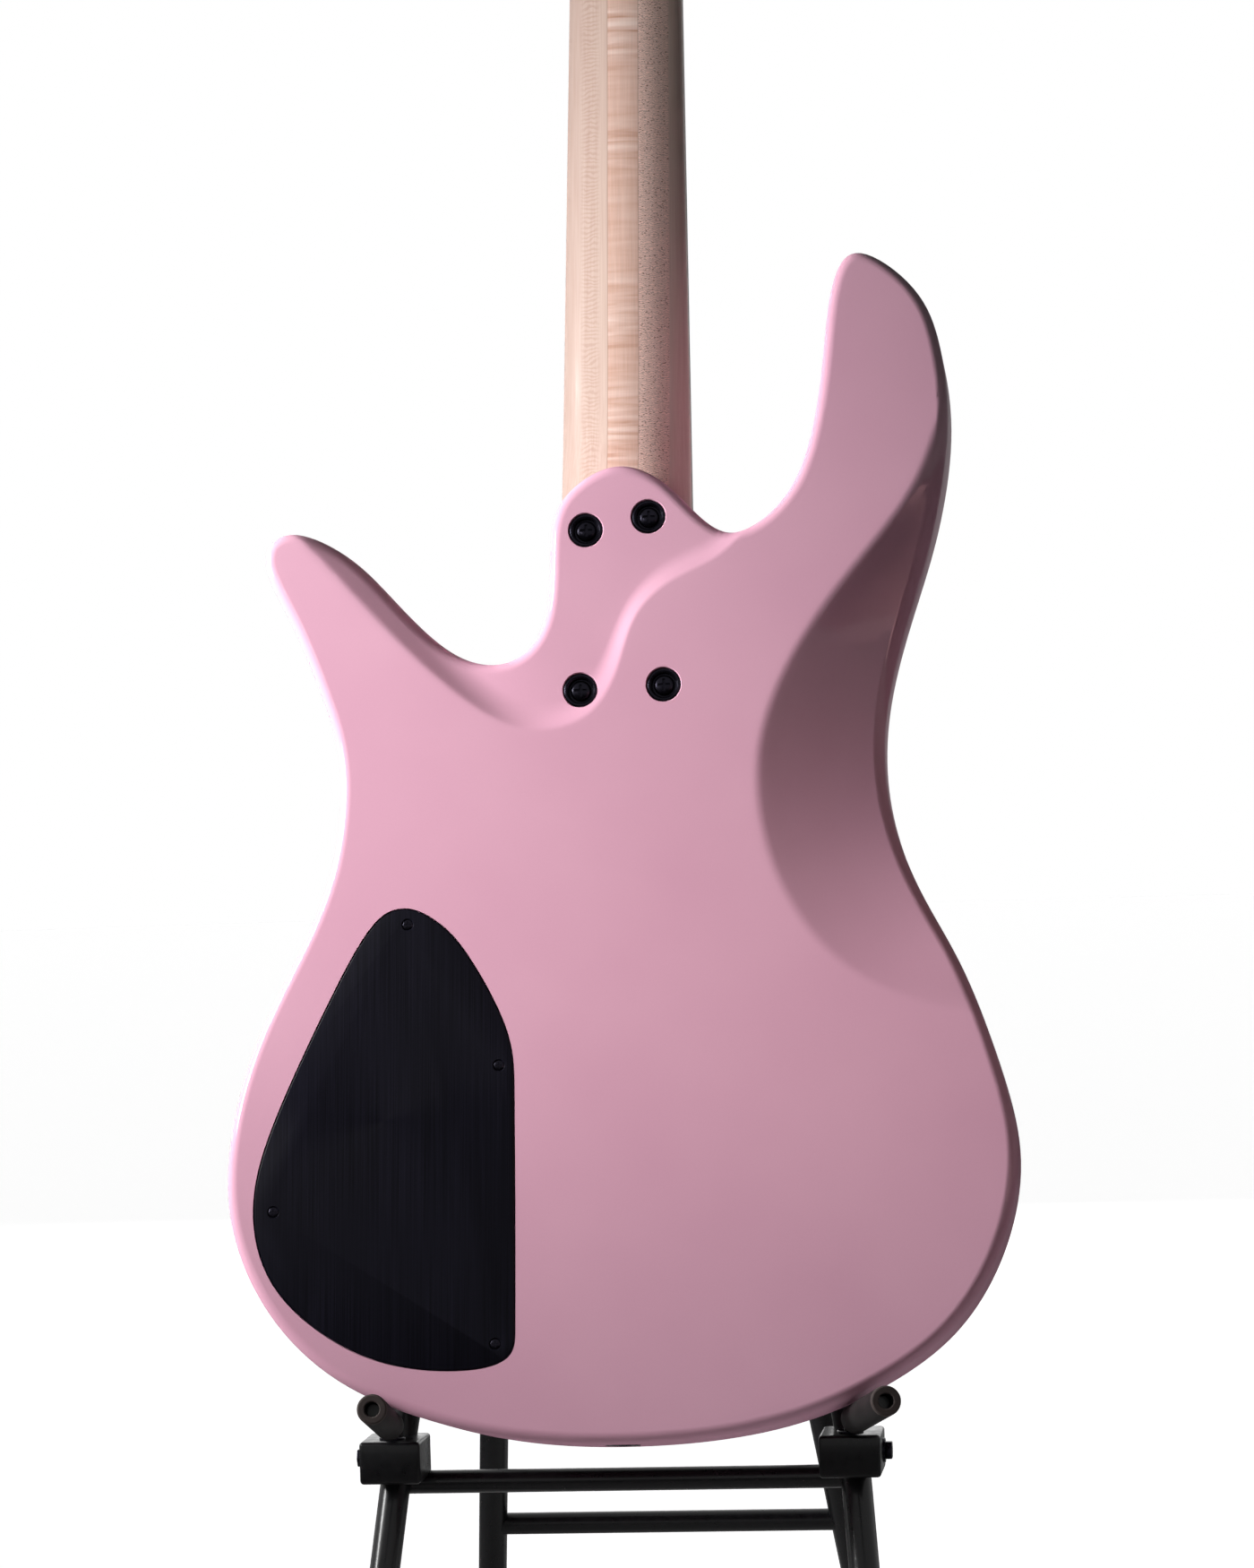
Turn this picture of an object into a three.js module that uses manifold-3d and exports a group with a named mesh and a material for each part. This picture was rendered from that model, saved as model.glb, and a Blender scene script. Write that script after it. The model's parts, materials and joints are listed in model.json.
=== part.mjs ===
// Four-string bass guitar leaning, face first, on a low folding A-frame stand.
// Millimetres, +Z up. The guitar's back faces -Y; the origin is the centre of the footprint.
import * as THREE from 'three';
import { mergeVertices } from 'three/addons/utils/BufferGeometryUtils.js';
import Module from 'manifold-3d';

const wasm = await Module();
wasm.setup();

// ---------------------------------------------------------------- driving dimensions
const seatGap = 0.3; // left between pieces that touch

// guitar: X across, Y up the neck from the tail, Z out of the back; the back face is Z = 0
const bodyThickness = 40;
const edgeRound = 4.5;
const scaleLength = 864;
const saddleY = 80;
const boardPastLastFret = 8;
const heelBlockEndY = 388;
const heelBlockBlend = 8; // shaft and heel block run into each other over this length
const heelSwell = 60; // the shaft deepens towards the block over this length
const neckWidthAtNut = 41;
const neckWidthAtHeel = 60;
const neckProud = 6; // neck wood above the body's face
const pocketFloor = 22; // below the back face
const neckBack = 28; // back of the neck, below the back face
const neckThinning = 2.5; // less depth towards the nut
const thinEnd = 60; // thinnest from here to the nut
const neckSideDepth = 3; // straight sides under the fingerboard
const boardThickness = 6;
const boardOverhang = 4;
const boardArch = 1.2; // fingerboard's middle above its edges
const fretCount = 24;
const fretHeight = 1;
const fretWidth = 2.4;
const stringRadii = [0.6, 0.85, 1.1, 1.35]; // thin to thick, from -X to +X
const stringSpacingAtSaddle = 19;
const stringSpacingAtNut = 10.3;
const stringAction = 3.6; // string underside above the fingerboard at the saddle
const stringAtNut = 1.7; // and at the nut
const nutLength = 4.5;
const nutRise = 1.6; // nut standing above the strings' undersides
const heelDrop = 2.2; // heel below the back face

const coverThickness = 2.5;
const coverClearance = 0.4;
const cavityLedge = 7;
const cavityWall = 6; // wood left under the face
const pocketWallEndY = 352; // the neck pocket opens past the cutaway side above this
const pocketEndY = 440;
const pocketOpenX = -45;

const ferruleRadius = 7.2;
const ferruleHeight = 6;
const neckScrewRadius = 2.3;
const neckScrewHeadRadius = 4.3;
const neckScrewLength = 33;
const ferruleSeat = 3.2; // screw head's seat below the ferrule's top
const holeClearance = 0.35;

const pickupSize = [90, 33, 24]; // across, along the strings, deep
const pickupProud = 8;
const pickupGap = 0.5;
const neckPickupY = 232;
const bridgePickupY = 158;

const plateThickness = 3;
const plateBehind = 32; // bridge plate behind the saddles' middle
const plateAhead = 30;
const bridgeWidth = 84;
const bridgeWall = [4, 15]; // upright at the plate's tail, thick and high
const anchorRise = 6.7; // string axis above the plate at that upright
const anchorBore = 3;
const saddleLength = 11;
const saddleWidth = 17.6;
const saddleGrooveDepth = 1.2;
const ballRadius = 3.4; // string's ball end
const ballLength = 4;

const knobRadius = 9.5;
const knobHeight = 14;
const knobEdge = 1.5;
const shaftRadius = 3;
const shaftClearance = 1;
const knobPlaces = [[-107, 178], [-121, 148], [-128, 114], [-124, 80]];
const togglePlace = [-112, 52];
const potRadius = 8.5;
const circuitDepth = 24; // control board below the back face
const circuitThickness = 1.6;
const circuitMargin = 3;
const circuitEndY = 64;
const batterySize = [48.5, 26.5, 17.5];
const batteryPlace = [-86, 86];
const batteryGap = 1.1; // above the control board

const strapRadius = 7.5;
const strapDepth = 12;
const strapFlange = 1.2;
const strapBore = 4;
const strapFloor = 3;
const strapStep = 2; // barrel inside the flange's edge
const hornStrapPlace = [106, 507];
const jackPlace = [-165, 108];
const jackRadius = 8;
const jackStep = 1.5;
const jackFlange = 2.5;
const jackRecess = 1;
const jackBore = 3.5;
const jackLength = 18;
const jackWellDepth = 29;

const headTilt = 10; // degrees
const headThickness = 14.5;
const tunerPlaces = [[-20, 46], [-17, 108], [17, 108], [20, 46]]; // across, along the headstock
const postRadius = 4.5;
const postReach = 17; // posts above the headstock's face
const wrapRise = [4.5, 10]; // where the string winds round its post
const wrapThickness = 1.6;
const gearRadius = 5.4;
const gearThickness = 4;
const housingSize = [19, 27, 10];
const housingWall = 2;
const wormOffset = 9.5;
const wormRadius = 2.9;
const wormLength = 10;
const keyShaftRadius = 2.5;
const keyEdge = 45; // the key's button starts this far across
const keyButton = [11, 12.5, 5]; // half width, half height and thickness

// stand
const lean = 10; // degrees the guitar leans back
const seatHeight = 140; // arm axes above the floor where the body sits on them
const armSpacing = 195;
const guitarOffset = 4.3; // guitar's centre line right of the stand's
const armRise = 11.5; // degrees above horizontal
const armSwing = { left: 5, right: 12 }; // degrees each arm points to the right
const armLength = 98;
const armRadius = 2.8;
const armSleeveRadius = 6.2;
const pinDepth = 46; // arm pins behind the guitar's back plane
const seatDepth = 20; // where the arms' height is taken, behind the back plane
const restSleeveRadius = 7.5;
const sleeveOverhang = 10; // sleeve running past the end of its rod
const legRadius = 6.5;
const legDepth = 62; // leg axes behind the back plane at the brackets
const bracketSize = [26, 32, 18];
const bracketFront = 10; // bracket ahead of the arm's pin
const armClearance = 1.6; // arm above its bracket
const crossbarRadius = 5;
const crossbarDrop = 11.5; // crossbar below the brackets' middle
const restSpacing = 132;
const restLength = 55;
const restTop = 245; // up the lean from the seat
const frontFootY = 12;
const frontFootSpacing = 216;
const hingeAlong = 150; // hinge up the lean from the seat
const hingeOffset = 16; // behind the leg axes
const hingeRodRadius = 4;
const rearLegSpacing = 108;
const rearFootSpacing = 176;
const rearFootReach = 165; // rear feet behind the hinge
const rearCrossbarHeight = 64;
const eyeRadius = 9;
const lugThickness = 5;
const stopSize = [13, 5, 8]; // block on the lug that the opened rear leg meets
const stopRun = 8; // stop below the hinge eye
const footRadius = 12;
const footHeight = 18;

// ---------------------------------------------------------------- materials
function material(color, roughness, metalness = 0) {
  return new THREE.MeshStandardMaterial({ color, roughness, metalness });
}
const pinkLacquer = material(0xd7a8bb, 0.18);
const maple = material(0xd8b190, 0.4);
const ebony = material(0x1d1715, 0.5);
const blackPlate = material(0x121117, 0.38);
const blackMetal = material(0x0d0d10, 0.3, 0.9);
const glossBlack = material(0x08080a, 0.12, 0.2);
const rubber = material(0x1c1917, 0.75);
const bone = material(0xe8e0cf, 0.5);
const steel = material(0xb9bbbf, 0.25, 1);
const plasticBlack = material(0x141414, 0.35);
const circuitGreen = material(0x1c4a31, 0.6);

// ---------------------------------------------------------------- solids
const radians = THREE.MathUtils.degToRad;
const vec = (x, y, z) => new THREE.Vector3(x, y, z);
const at = (x, y, z) => new THREE.Matrix4().makeTranslation(x, y, z);

// a manifold solid from closed geometry, optionally moved first
function solid(geometry, matrix) {
  const bare = geometry.clone();
  bare.deleteAttribute('normal');
  bare.deleteAttribute('uv');
  if (matrix) bare.applyMatrix4(matrix);
  const welded = mergeVertices(bare, 1e-4);
  return new wasm.Manifold(new wasm.Mesh({
    numProp: 3,
    vertProperties: new Float32Array(welded.attributes.position.array),
    triVerts: new Uint32Array(welded.index.array),
  }));
}

function geometryOf(manifold) {
  const mesh = manifold.getMesh();
  const geometry = new THREE.BufferGeometry();
  geometry.setAttribute('position', new THREE.BufferAttribute(mesh.vertProperties, 3));
  geometry.setIndex(new THREE.BufferAttribute(mesh.triVerts, 1));
  geometry.computeVertexNormals();
  return geometry;
}

const joined = (first, ...rest) => rest.reduce((sum, next) => sum.add(next), first);
const cut = (first, ...rest) => rest.reduce((left, next) => left.subtract(next), first);

function box(sizeX, sizeY, sizeZ, x = 0, y = 0, z = 0) {
  return solid(new THREE.BoxGeometry(sizeX, sizeY, sizeZ), at(x, y, z));
}

// cylinder along Z from zLow to zHigh
function rodZ(radius, zLow, zHigh, x = 0, y = 0, sides = 16) {
  const upright = new THREE.CylinderGeometry(radius, radius, zHigh - zLow, sides);
  upright.rotateX(Math.PI / 2);
  return solid(upright, at(x, y, (zLow + zHigh) / 2));
}

// cylinder between two points
function rodBetween(start, end, radius, sides = 16) {
  const along = end.clone().sub(start);
  const rod = new THREE.CylinderGeometry(radius, radius, along.length(), sides);
  const turn = new THREE.Quaternion().setFromUnitVectors(vec(0, 1, 0), along.clone().normalize());
  const middle = start.clone().add(end).multiplyScalar(0.5);
  return solid(rod, new THREE.Matrix4().compose(middle, turn, vec(1, 1, 1)));
}

// closed skin over a row of matching closed sections, capped by fans
function loft(sections) {
  const count = sections[0].length;
  const points = sections.flat();
  const index = [];
  for (let s = 0; s < sections.length - 1; s += 1) {
    for (let i = 0; i < count; i += 1) {
      const j = (i + 1) % count;
      const a = s * count + i;
      const b = s * count + j;
      index.push(a, b, b + count, a, b + count, a + count);
    }
  }
  const lastStart = (sections.length - 1) * count;
  for (let i = 1; i < count - 1; i += 1) {
    index.push(0, i + 1, i, lastStart, lastStart + i, lastStart + i + 1);
  }
  let volume = 0;
  for (let t = 0; t < index.length; t += 3) {
    const [a, b, c] = [points[index[t]], points[index[t + 1]], points[index[t + 2]]];
    volume += a.dot(b.clone().cross(c));
  }
  if (volume < 0) index.reverse();
  const geometry = new THREE.BufferGeometry().setFromPoints(points);
  geometry.setIndex(index);
  return geometry;
}

// polyline whose inner corners are rounded off over a given run
function rounded(points, run, steps = 4) {
  const path = [points[0]];
  for (let i = 1; i < points.length - 1; i += 1) {
    const corner = points[i];
    const back = points[i - 1].clone().sub(corner).setLength(run).add(corner);
    const on = points[i + 1].clone().sub(corner).setLength(run).add(corner);
    path.push(...new THREE.QuadraticBezierCurve3(back, corner, on).getPoints(steps));
  }
  path.push(points[points.length - 1]);
  return path;
}

// round bar along a polyline; radii may differ from point to point
function bar(path, radii, sides) {
  let across = null;
  return solid(loft(path.map((point, i) => {
    const before = path[Math.max(i - 1, 0)];
    const after = path[Math.min(i + 1, path.length - 1)];
    const along = after.clone().sub(before).normalize();
    const guess = across ?? (Math.abs(along.x) < 0.9 ? vec(1, 0, 0) : vec(0, 1, 0));
    across = guess.clone().addScaledVector(along, -guess.dot(along)).normalize();
    const up = along.clone().cross(across);
    const radius = Array.isArray(radii) ? radii[i] : radii;
    return Array.from({ length: sides }, (_, k) => {
      const angle = (2 * Math.PI * k) / sides;
      return point.clone().addScaledVector(across, radius * Math.cos(angle))
        .addScaledVector(up, radius * Math.sin(angle));
    });
  })));
}

// closed uniform cubic B-spline through a ring of control points
function splineRing(controls, stepsPerSpan) {
  const ring = [];
  const count = controls.length;
  for (let i = 0; i < count; i += 1) {
    const [a, b, c, d] = [-1, 0, 1, 2].map((k) => controls[(i + k + count) % count]);
    for (let step = 0; step < stepsPerSpan; step += 1) {
      const t = step / stepsPerSpan;
      const weights = [
        (1 - t) ** 3,
        3 * t ** 3 - 6 * t ** 2 + 4,
        -3 * t ** 3 + 3 * t ** 2 + 3 * t + 1,
        t ** 3,
      ];
      const mix = (k) => (weights[0] * a[k] + weights[1] * b[k] + weights[2] * c[k] + weights[3] * d[k]) / 6;
      ring.push(new THREE.Vector2(mix(0), mix(1)));
    }
  }
  return ring;
}

// ring moved inward by a distance (outward if negative); rings run anticlockwise
function insetRing(ring, distance) {
  return ring.map((point, i) => {
    const before = ring[(i + ring.length - 1) % ring.length];
    const after = ring[(i + 1) % ring.length];
    const tangent = after.clone().sub(before).normalize();
    return point.clone().add(new THREE.Vector2(-tangent.y, tangent.x).multiplyScalar(distance));
  });
}

function prism(ring, zLow, zHigh) {
  const shape = new THREE.Shape(ring);
  const geometry = new THREE.ExtrudeGeometry(shape, { depth: zHigh - zLow, bevelEnabled: false });
  return solid(geometry, at(0, 0, zLow));
}

function piece(parent, name, shape, finish, position = vec(0, 0, 0)) {
  const geometry = shape.isBufferGeometry ? shape : geometryOf(shape);
  const mesh = new THREE.Mesh(geometry, finish);
  mesh.name = name;
  mesh.position.copy(position);
  parent.add(mesh);
  return mesh;
}

// ---------------------------------------------------------------- guitar layout
const face = -bodyThickness;
const boardUnder = face - neckProud;
const boardTop = boardUnder - boardThickness;
const nutY = saddleY + scaleLength;
const fretY = (n) => nutY - scaleLength * (1 - 2 ** (-n / 12));
const boardStartY = fretY(fretCount) - boardPastLastFret;
const neckHeelY = boardStartY + boardOverhang;
const taper = (neckWidthAtHeel - neckWidthAtNut) / (nutY - neckHeelY);
const neckWidthAt = (y) => neckWidthAtNut + (nutY - y) * taper;
const stringX = (i, spacing) => (i - 1.5) * spacing;
const stringFall = (stringAction + fretHeight - stringAtNut) / scaleLength;
const stringUnderside = (y) => boardTop - stringAtNut - (nutY - y) * stringFall;

// control points of the body outline, anticlockwise as seen from the back, from the tail
const bodyControls = [
  [-0.5, -0.5], [42, 2], [84, 11], [125, 32.5], [147, 53.5], [162.5, 83], [169.5, 118.5], // right lower bout
  [162, 152], [146, 198], [129, 226], [117, 254.5], [111.5, 285.5], [114.5, 319.5], [126, 357], // right waist
  [136.5, 388], [144, 431.5], [140, 465.5], [132, 490.5], [102.5, 513], [93.5, 496.5], [90.5, 477], // long horn
  [88, 446.5], [81.5, 415], [70.5, 395.5], [50, 381], [34, 393.8], [21.5, 409.3], [2, 419.3], // heel
  [-16.4, 410.8], [-28.4, 397.3], [-28.9, 376], [-29.4, 349.4], [-39.4, 333.2], [-55, 329.2], // cutaway
  [-74, 336.5],
  [-96, 359.5], [-112, 378], [-134, 391], [-149.5, 389.5], [-155, 376], [-139.5, 350.5], // short horn
  [-126, 316], [-116.5, 288], [-120, 242.5], [-136, 206.5], [-155.5, 170], [-166.5, 127], // left waist
  [-166, 90], [-149, 53], [-119.5, 25], [-80, 9.5], [-40, 1], // left lower bout
];
const bodyRing = splineRing(bodyControls, 3);

const coverControls = [
  [-87.5, 226], [-99.5, 224.5], [-109, 211], [-116, 198.5], [-131.5, 167], [-147.5, 131], [-154.5, 106.5],
  [-153.5, 83], [-142.5, 59.5], [-113, 38], [-88, 31.5], [-70, 30.5], [-54.5, 31.5], [-43, 36.5], [-43, 48],
  [-43, 57], [-43, 98.5], [-43.5, 146.5], [-43.5, 164.5], [-50, 183], [-66.5, 211.5], [-78, 221],
];
const coverRing = splineRing(coverControls, 2);

// the crease that bounds the lowered heel: a partner beyond the body's edge, the slope's width and its drop
const heelCrease = [
  [66, 398, 62, 408, 8, heelDrop], [51, 376, 46, 410, 10, heelDrop], [34, 368, 34, 415, 10, heelDrop],
  [22, 362.5, 22, 428, 10, heelDrop], [13, 355, 2, 434, 9.5, heelDrop], [7, 346, -18, 430, 9, heelDrop],
  [4, 336, -38, 414, 9, heelDrop], [0, 321, -47, 388, 9.5, heelDrop], [-8, 308, -50, 366, 10, heelDrop],
  [-17, 302.5, -50, 354, 11, 2.3], [-30, 299, -52, 350, 14, 2.6], [-45, 301, -57, 347, 18, 3],
  [-60, 309.5, -64, 350, 21, 3.6], [-78, 324, -74, 356, 22, 4.6], [-97, 342.5, -86, 372, 26, 7],
  [-112, 359, -100, 390, 30, 10], [-127, 376, -118, 404, 28, 10.8], [-142, 391, -136, 408, 17, 7],
];
// the crease of the belly cut, its partner beyond the edge and the depth reached there
const bellyCrease = [
  [141, 440, 152, 436, 6], [134, 411, 158, 404, 14], [118, 387, 160, 372, 24], [95, 361, 160, 338, 29],
  [74, 331, 160, 316, 30], [61, 300, 160, 300, 30], [59, 273, 160, 282, 28], [64.5, 241, 162, 262, 24],
  [82, 210, 166, 240, 18], [106, 189, 172, 218, 12], [140, 177, 178, 196, 6], [176, 172, 184, 180, 5],
];
const above = 6; // cutters run this far past the surface they open

function heelCutter() {
  return solid(loft(heelCrease.map(([x, y, farX, farY, width, drop]) => {
    const reach = Math.hypot(farX - x, farY - y);
    const foot = width / reach;
    const footX = x + (farX - x) * foot;
    const footY = y + (farY - y) * foot;
    return [vec(x, y, 0), vec(footX, footY, -drop), vec(farX, farY, -drop), vec(farX, farY, above), vec(x, y, above)];
  })));
}

function bellyCutter() {
  return solid(loft(bellyCrease.map(([x, y, farX, farY, depth]) => [
    vec(x, y, 0), vec(farX, farY, -depth), vec(farX, farY, above), vec(x, y, above),
  ])));
}

const ferrulePlaces = [[-15.5, 318.2, -heelDrop], [20.4, 319.4, 0],
  [-13.1, 387.8, -heelDrop], [13.9, 393, -heelDrop]];

// the heel block's outline with room round it
function neckPocket() {
  const start = neckHeelY - seatGap;
  const half = (y) => neckWidthAt(y) / 2 + seatGap;
  const ring = [
    [half(neckHeelY), start], [half(pocketEndY), pocketEndY], [pocketOpenX, pocketEndY],
    [pocketOpenX, pocketWallEndY], [-half(pocketWallEndY), pocketWallEndY], [-half(neckHeelY), start],
  ].map(([x, y]) => new THREE.Vector2(x, y));
  return prism(ring, face - above, -pocketFloor);
}

const coverRecess = coverThickness + seatGap;

function hollowAlongY(x, yLow, yHigh, z, radius) {
  return rodBetween(vec(x, yLow, z), vec(x, yHigh, z), radius, 24);
}

function makeBody() {
  const outer = new THREE.ExtrudeGeometry(new THREE.Shape(insetRing(bodyRing, edgeRound)), {
    depth: bodyThickness - 2 * edgeRound,
    bevelEnabled: true,
    bevelThickness: edgeRound,
    bevelSize: edgeRound,
    bevelSegments: 2,
  });
  const middle = -bodyThickness / 2;
  let body = cut(
    solid(outer, at(0, 0, face + edgeRound)),
    heelCutter(),
    bellyCutter(),
    neckPocket(),
    prism(insetRing(coverRing, -coverClearance), -coverRecess, above),
    prism(insetRing(coverRing, cavityLedge), face + cavityWall, 0),
    hollowAlongY(0, -above, strapDepth, middle, strapRadius + seatGap),
    hollowAlongY(hornStrapPlace[0], hornStrapPlace[1] - strapDepth, hornStrapPlace[1] + above, middle,
      strapRadius + seatGap),
    rodBetween(vec(jackPlace[0] - above, jackPlace[1], middle),
      vec(jackPlace[0] + jackWellDepth, jackPlace[1], middle), jackRadius + seatGap, 24),
  );
  for (const y of [neckPickupY, bridgePickupY]) {
    const [width, length, depth] = pickupSize;
    const hole = depth - pickupProud + seatGap;
    body = body.subtract(box(width + 2 * pickupGap, length + 2 * pickupGap, hole + above, 0, y,
      face + (hole - above) / 2));
  }
  for (const [x, y, surface] of ferrulePlaces) {
    body = cut(
      body,
      rodZ(ferruleRadius + seatGap, surface - ferruleHeight - seatGap, above, x, y, 18),
      rodZ(neckScrewRadius + holeClearance, face, 0, x, y, 12),
    );
  }
  for (const [x, y] of [...knobPlaces, togglePlace]) {
    const hole = shaftRadius + shaftClearance;
    body = body.subtract(rodZ(hole, face - above, face + cavityWall + 1, x, y, 12));
  }
  return body;
}

// ---------------------------------------------------------------- neck
const neckRoundSteps = 8;
// section with a flat top and a half-oval back, shallow enough to start at the top's edges
function neckSection(y, halfWidth, back, sideDepth) {
  const points = [vec(-halfWidth, y, boardUnder), vec(-halfWidth, y, boardUnder + sideDepth)];
  for (let i = 1; i < neckRoundSteps; i += 1) {
    const angle = Math.PI - (i * Math.PI) / neckRoundSteps;
    const round = back - boardUnder - sideDepth;
    points.push(vec(Math.cos(angle) * halfWidth, y, boardUnder + sideDepth + Math.sin(angle) * round));
  }
  points.push(vec(halfWidth, y, boardUnder + sideDepth), vec(halfWidth, y, boardUnder));
  return points;
}

const headStart = nutY + nutLength + 3.5; // the headstock plane turns back from here
const headMatrix = new THREE.Matrix4().makeRotationX(radians(headTilt)).setPosition(0, headStart, boardUnder);

// half outline of the headstock, across and along, mirrored for the other side
const headHalf = [[20, -2], [21, 6], [27, 20], [36, 38], [39, 60], [36, 85], [35, 112], [33, 138], [24, 158],
  [10, 168]];
function headSolid() {
  const right = headHalf.map(([x, y]) => new THREE.Vector2(x, y));
  const left = headHalf.map(([x, y]) => new THREE.Vector2(-x, y)).reverse();
  const half = neckWidthAtNut / 2;
  const curve = new THREE.SplineCurve([...right, new THREE.Vector2(0, 170), ...left]);
  const ring = [new THREE.Vector2(half, -2), ...curve.getPoints(36).slice(1, -1),
    new THREE.Vector2(-half, -2)];
  let head = prism(ring, 0, headThickness);
  for (const [x, y] of tunerPlaces) {
    head = head.subtract(rodZ(postRadius + 0.8, -1, headThickness + 1, x, y, 16));
  }
  return head.transform(headMatrix.elements);
}

const trussStartY = neckHeelY + 8;
const trussEndY = nutY - 24;
const trussWidth = 6;
const trussDepth = 9;

function makeNeck() {
  const thin = neckBack + neckThinning;
  const shaftStart = heelBlockEndY + heelBlockBlend;
  const sections = [[shaftStart, pocketFloor + seatGap], [shaftStart + heelSwell, neckBack],
    [nutY - thinEnd, thin], [headStart, thin]];
  const shaft = solid(loft(sections.map(([y, back]) => {
    const half = neckWidthAt(Math.min(y, nutY)) / 2;
    return neckSection(y, half, -back, neckSideDepth);
  })));
  const heelRing = [neckHeelY, shaftStart + 1].map((y) => {
    const half = neckWidthAt(y) / 2;
    return [vec(-half, y, boardUnder), vec(-half, y, -pocketFloor - seatGap),
      vec(half, y, -pocketFloor - seatGap), vec(half, y, boardUnder)];
  });
  let neck = joined(shaft, solid(loft(heelRing)), headSolid());
  const slotLength = trussEndY - trussStartY;
  const room = 2 * seatGap;
  neck = neck.subtract(box(trussWidth + room, slotLength + room, trussDepth * 2 + room, 0,
    trussStartY + slotLength / 2, boardUnder));
  const holeEnd = -heelDrop - neckScrewLength - 1;
  for (const [x, y] of ferrulePlaces) {
    neck = neck.subtract(rodZ(neckScrewRadius + holeClearance, holeEnd, 0, x, y, 12));
  }
  return neck;
}

function boardSection(y, halfWidth) {
  const points = [vec(halfWidth, y, boardUnder - seatGap), vec(-halfWidth, y, boardUnder - seatGap)];
  for (let i = 0; i <= 4; i += 1) {
    const across = -1 + i / 2;
    points.push(vec(across * halfWidth, y, boardTop + boardArch * across * across));
  }
  return points;
}

function fretSection(x, y, fall) {
  const top = boardTop + fall - fretHeight;
  const sunk = boardTop + fall + fretHeight;
  return [vec(x, y - fretWidth / 2, sunk), vec(x, y - fretWidth / 3, top),
    vec(x, y + fretWidth / 3, top), vec(x, y + fretWidth / 2, sunk)];
}

function makeFretboard() {
  const ends = [boardStartY, nutY].map((y) => boardSection(y, neckWidthAt(y) / 2));
  let board = solid(loft(ends));
  for (let n = 1; n <= fretCount; n += 1) {
    const y = fretY(n);
    const half = neckWidthAt(y) / 2 - 0.6;
    const sections = [-1, 0, 1].map((u) => fretSection(u * half, y, boardArch * u * u));
    board = board.add(solid(loft(sections)));
  }
  return board;
}

function makeNut() {
  const height = boardThickness + stringAtNut + nutRise;
  const start = nutY + seatGap;
  const middle = start + nutLength / 2;
  let nut = box(neckWidthAtNut, nutLength, height, 0, middle, boardUnder - seatGap - height / 2);
  stringRadii.forEach((radius, i) => {
    const z = boardTop - stringAtNut - radius;
    const x = stringX(i, stringSpacingAtNut);
    const slot = radius + seatGap;
    nut = nut.subtract(box(2 * slot, nutLength + 2, 12, x, middle, z + slot - 6));
  });
  return nut;
}

// ---------------------------------------------------------------- bridge, strings, electronics
const plateTop = face - seatGap - plateThickness;
const bridgeTail = saddleY - plateBehind;
const saddleRise = boardTop - stringAction - fretHeight + seatGap; // strings' undersides over the saddles
const stringBendY = saddleY - saddleLength;
const anchorZ = plateTop - anchorRise;

function makeBridgePlate() {
  const length = plateBehind + plateAhead;
  const [wallThickness, wallHeight] = bridgeWall;
  let plate = joined(
    box(bridgeWidth, length, plateThickness, 0, bridgeTail + length / 2, plateTop + plateThickness / 2),
    box(bridgeWidth, wallThickness, wallHeight, 0, bridgeTail + wallThickness / 2,
      plateTop + 1 - wallHeight / 2),
  );
  stringRadii.forEach((radius, i) => {
    const x = stringX(i, stringSpacingAtSaddle);
    plate = plate.subtract(rodBetween(vec(x, bridgeTail - 1, anchorZ),
      vec(x, bridgeTail + wallThickness + 1, anchorZ), anchorBore, 12));
  });
  return plate;
}

function makeSaddle(radius) {
  const low = plateTop - seatGap;
  const high = saddleRise - saddleGrooveDepth;
  const block = box(saddleWidth, saddleLength, low - high, 0, 0, (low + high) / 2);
  const groove = radius + seatGap;
  return block.subtract(box(2 * groove, saddleLength + 1, 8, 0, 0, saddleRise + seatGap - 4));
}

// where a string meets its post, in the guitar's frame
const wrapRadius = postRadius + wrapThickness;
const stringHeadHeight = -(wrapRise[0] + wrapRise[1]) / 2;
function postTangent(i) {
  const [x, y] = tunerPlaces[i];
  const inner = x - Math.sign(x) * (wrapRadius + seatGap + stringRadii[i]);
  return vec(inner, y, stringHeadHeight).applyMatrix4(headMatrix);
}

function makeString(i) {
  const radius = stringRadii[i];
  const bridgeX = stringX(i, stringSpacingAtSaddle);
  const over = (y) => stringUnderside(y) - radius;
  const nutFront = nutY + seatGap + nutLength;
  const nutX = stringX(i, stringSpacingAtNut);
  const path = [
    vec(bridgeX, bridgeTail - ballLength - 2 * seatGap, anchorZ),
    vec(bridgeX, bridgeTail - 2 * seatGap, anchorZ),
    vec(bridgeX, bridgeTail - seatGap, anchorZ),
    vec(bridgeX, bridgeTail + bridgeWall[0] + 1, anchorZ),
    vec(bridgeX, stringBendY, over(stringBendY)),
    vec(nutX, nutFront, over(nutY)),
    postTangent(i),
  ];
  return bar(path, [ballRadius, ballRadius, radius, radius, radius, radius, radius], 8);
}

function makeKnob() {
  const cap = [[0, 0], [knobRadius - knobEdge, 0], [knobRadius, knobEdge],
    [knobRadius - 0.4, knobHeight - knobEdge], [knobRadius - knobEdge, knobHeight], [0, knobHeight]];
  const shaftLength = bodyThickness - circuitDepth - 1;
  const profile = [[0, -shaftLength], [shaftRadius, -shaftLength], [shaftRadius, 0], ...cap.slice(1)];
  const lathe = new THREE.LatheGeometry(profile.map(([r, h]) => new THREE.Vector2(r, h)), 18);
  lathe.rotateX(-Math.PI / 2);
  const pointer = box(1.2, knobRadius - 2, 1, 0, (knobRadius + 1) / 2, -knobHeight);
  return cut(solid(lathe), pointer);
}

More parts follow.
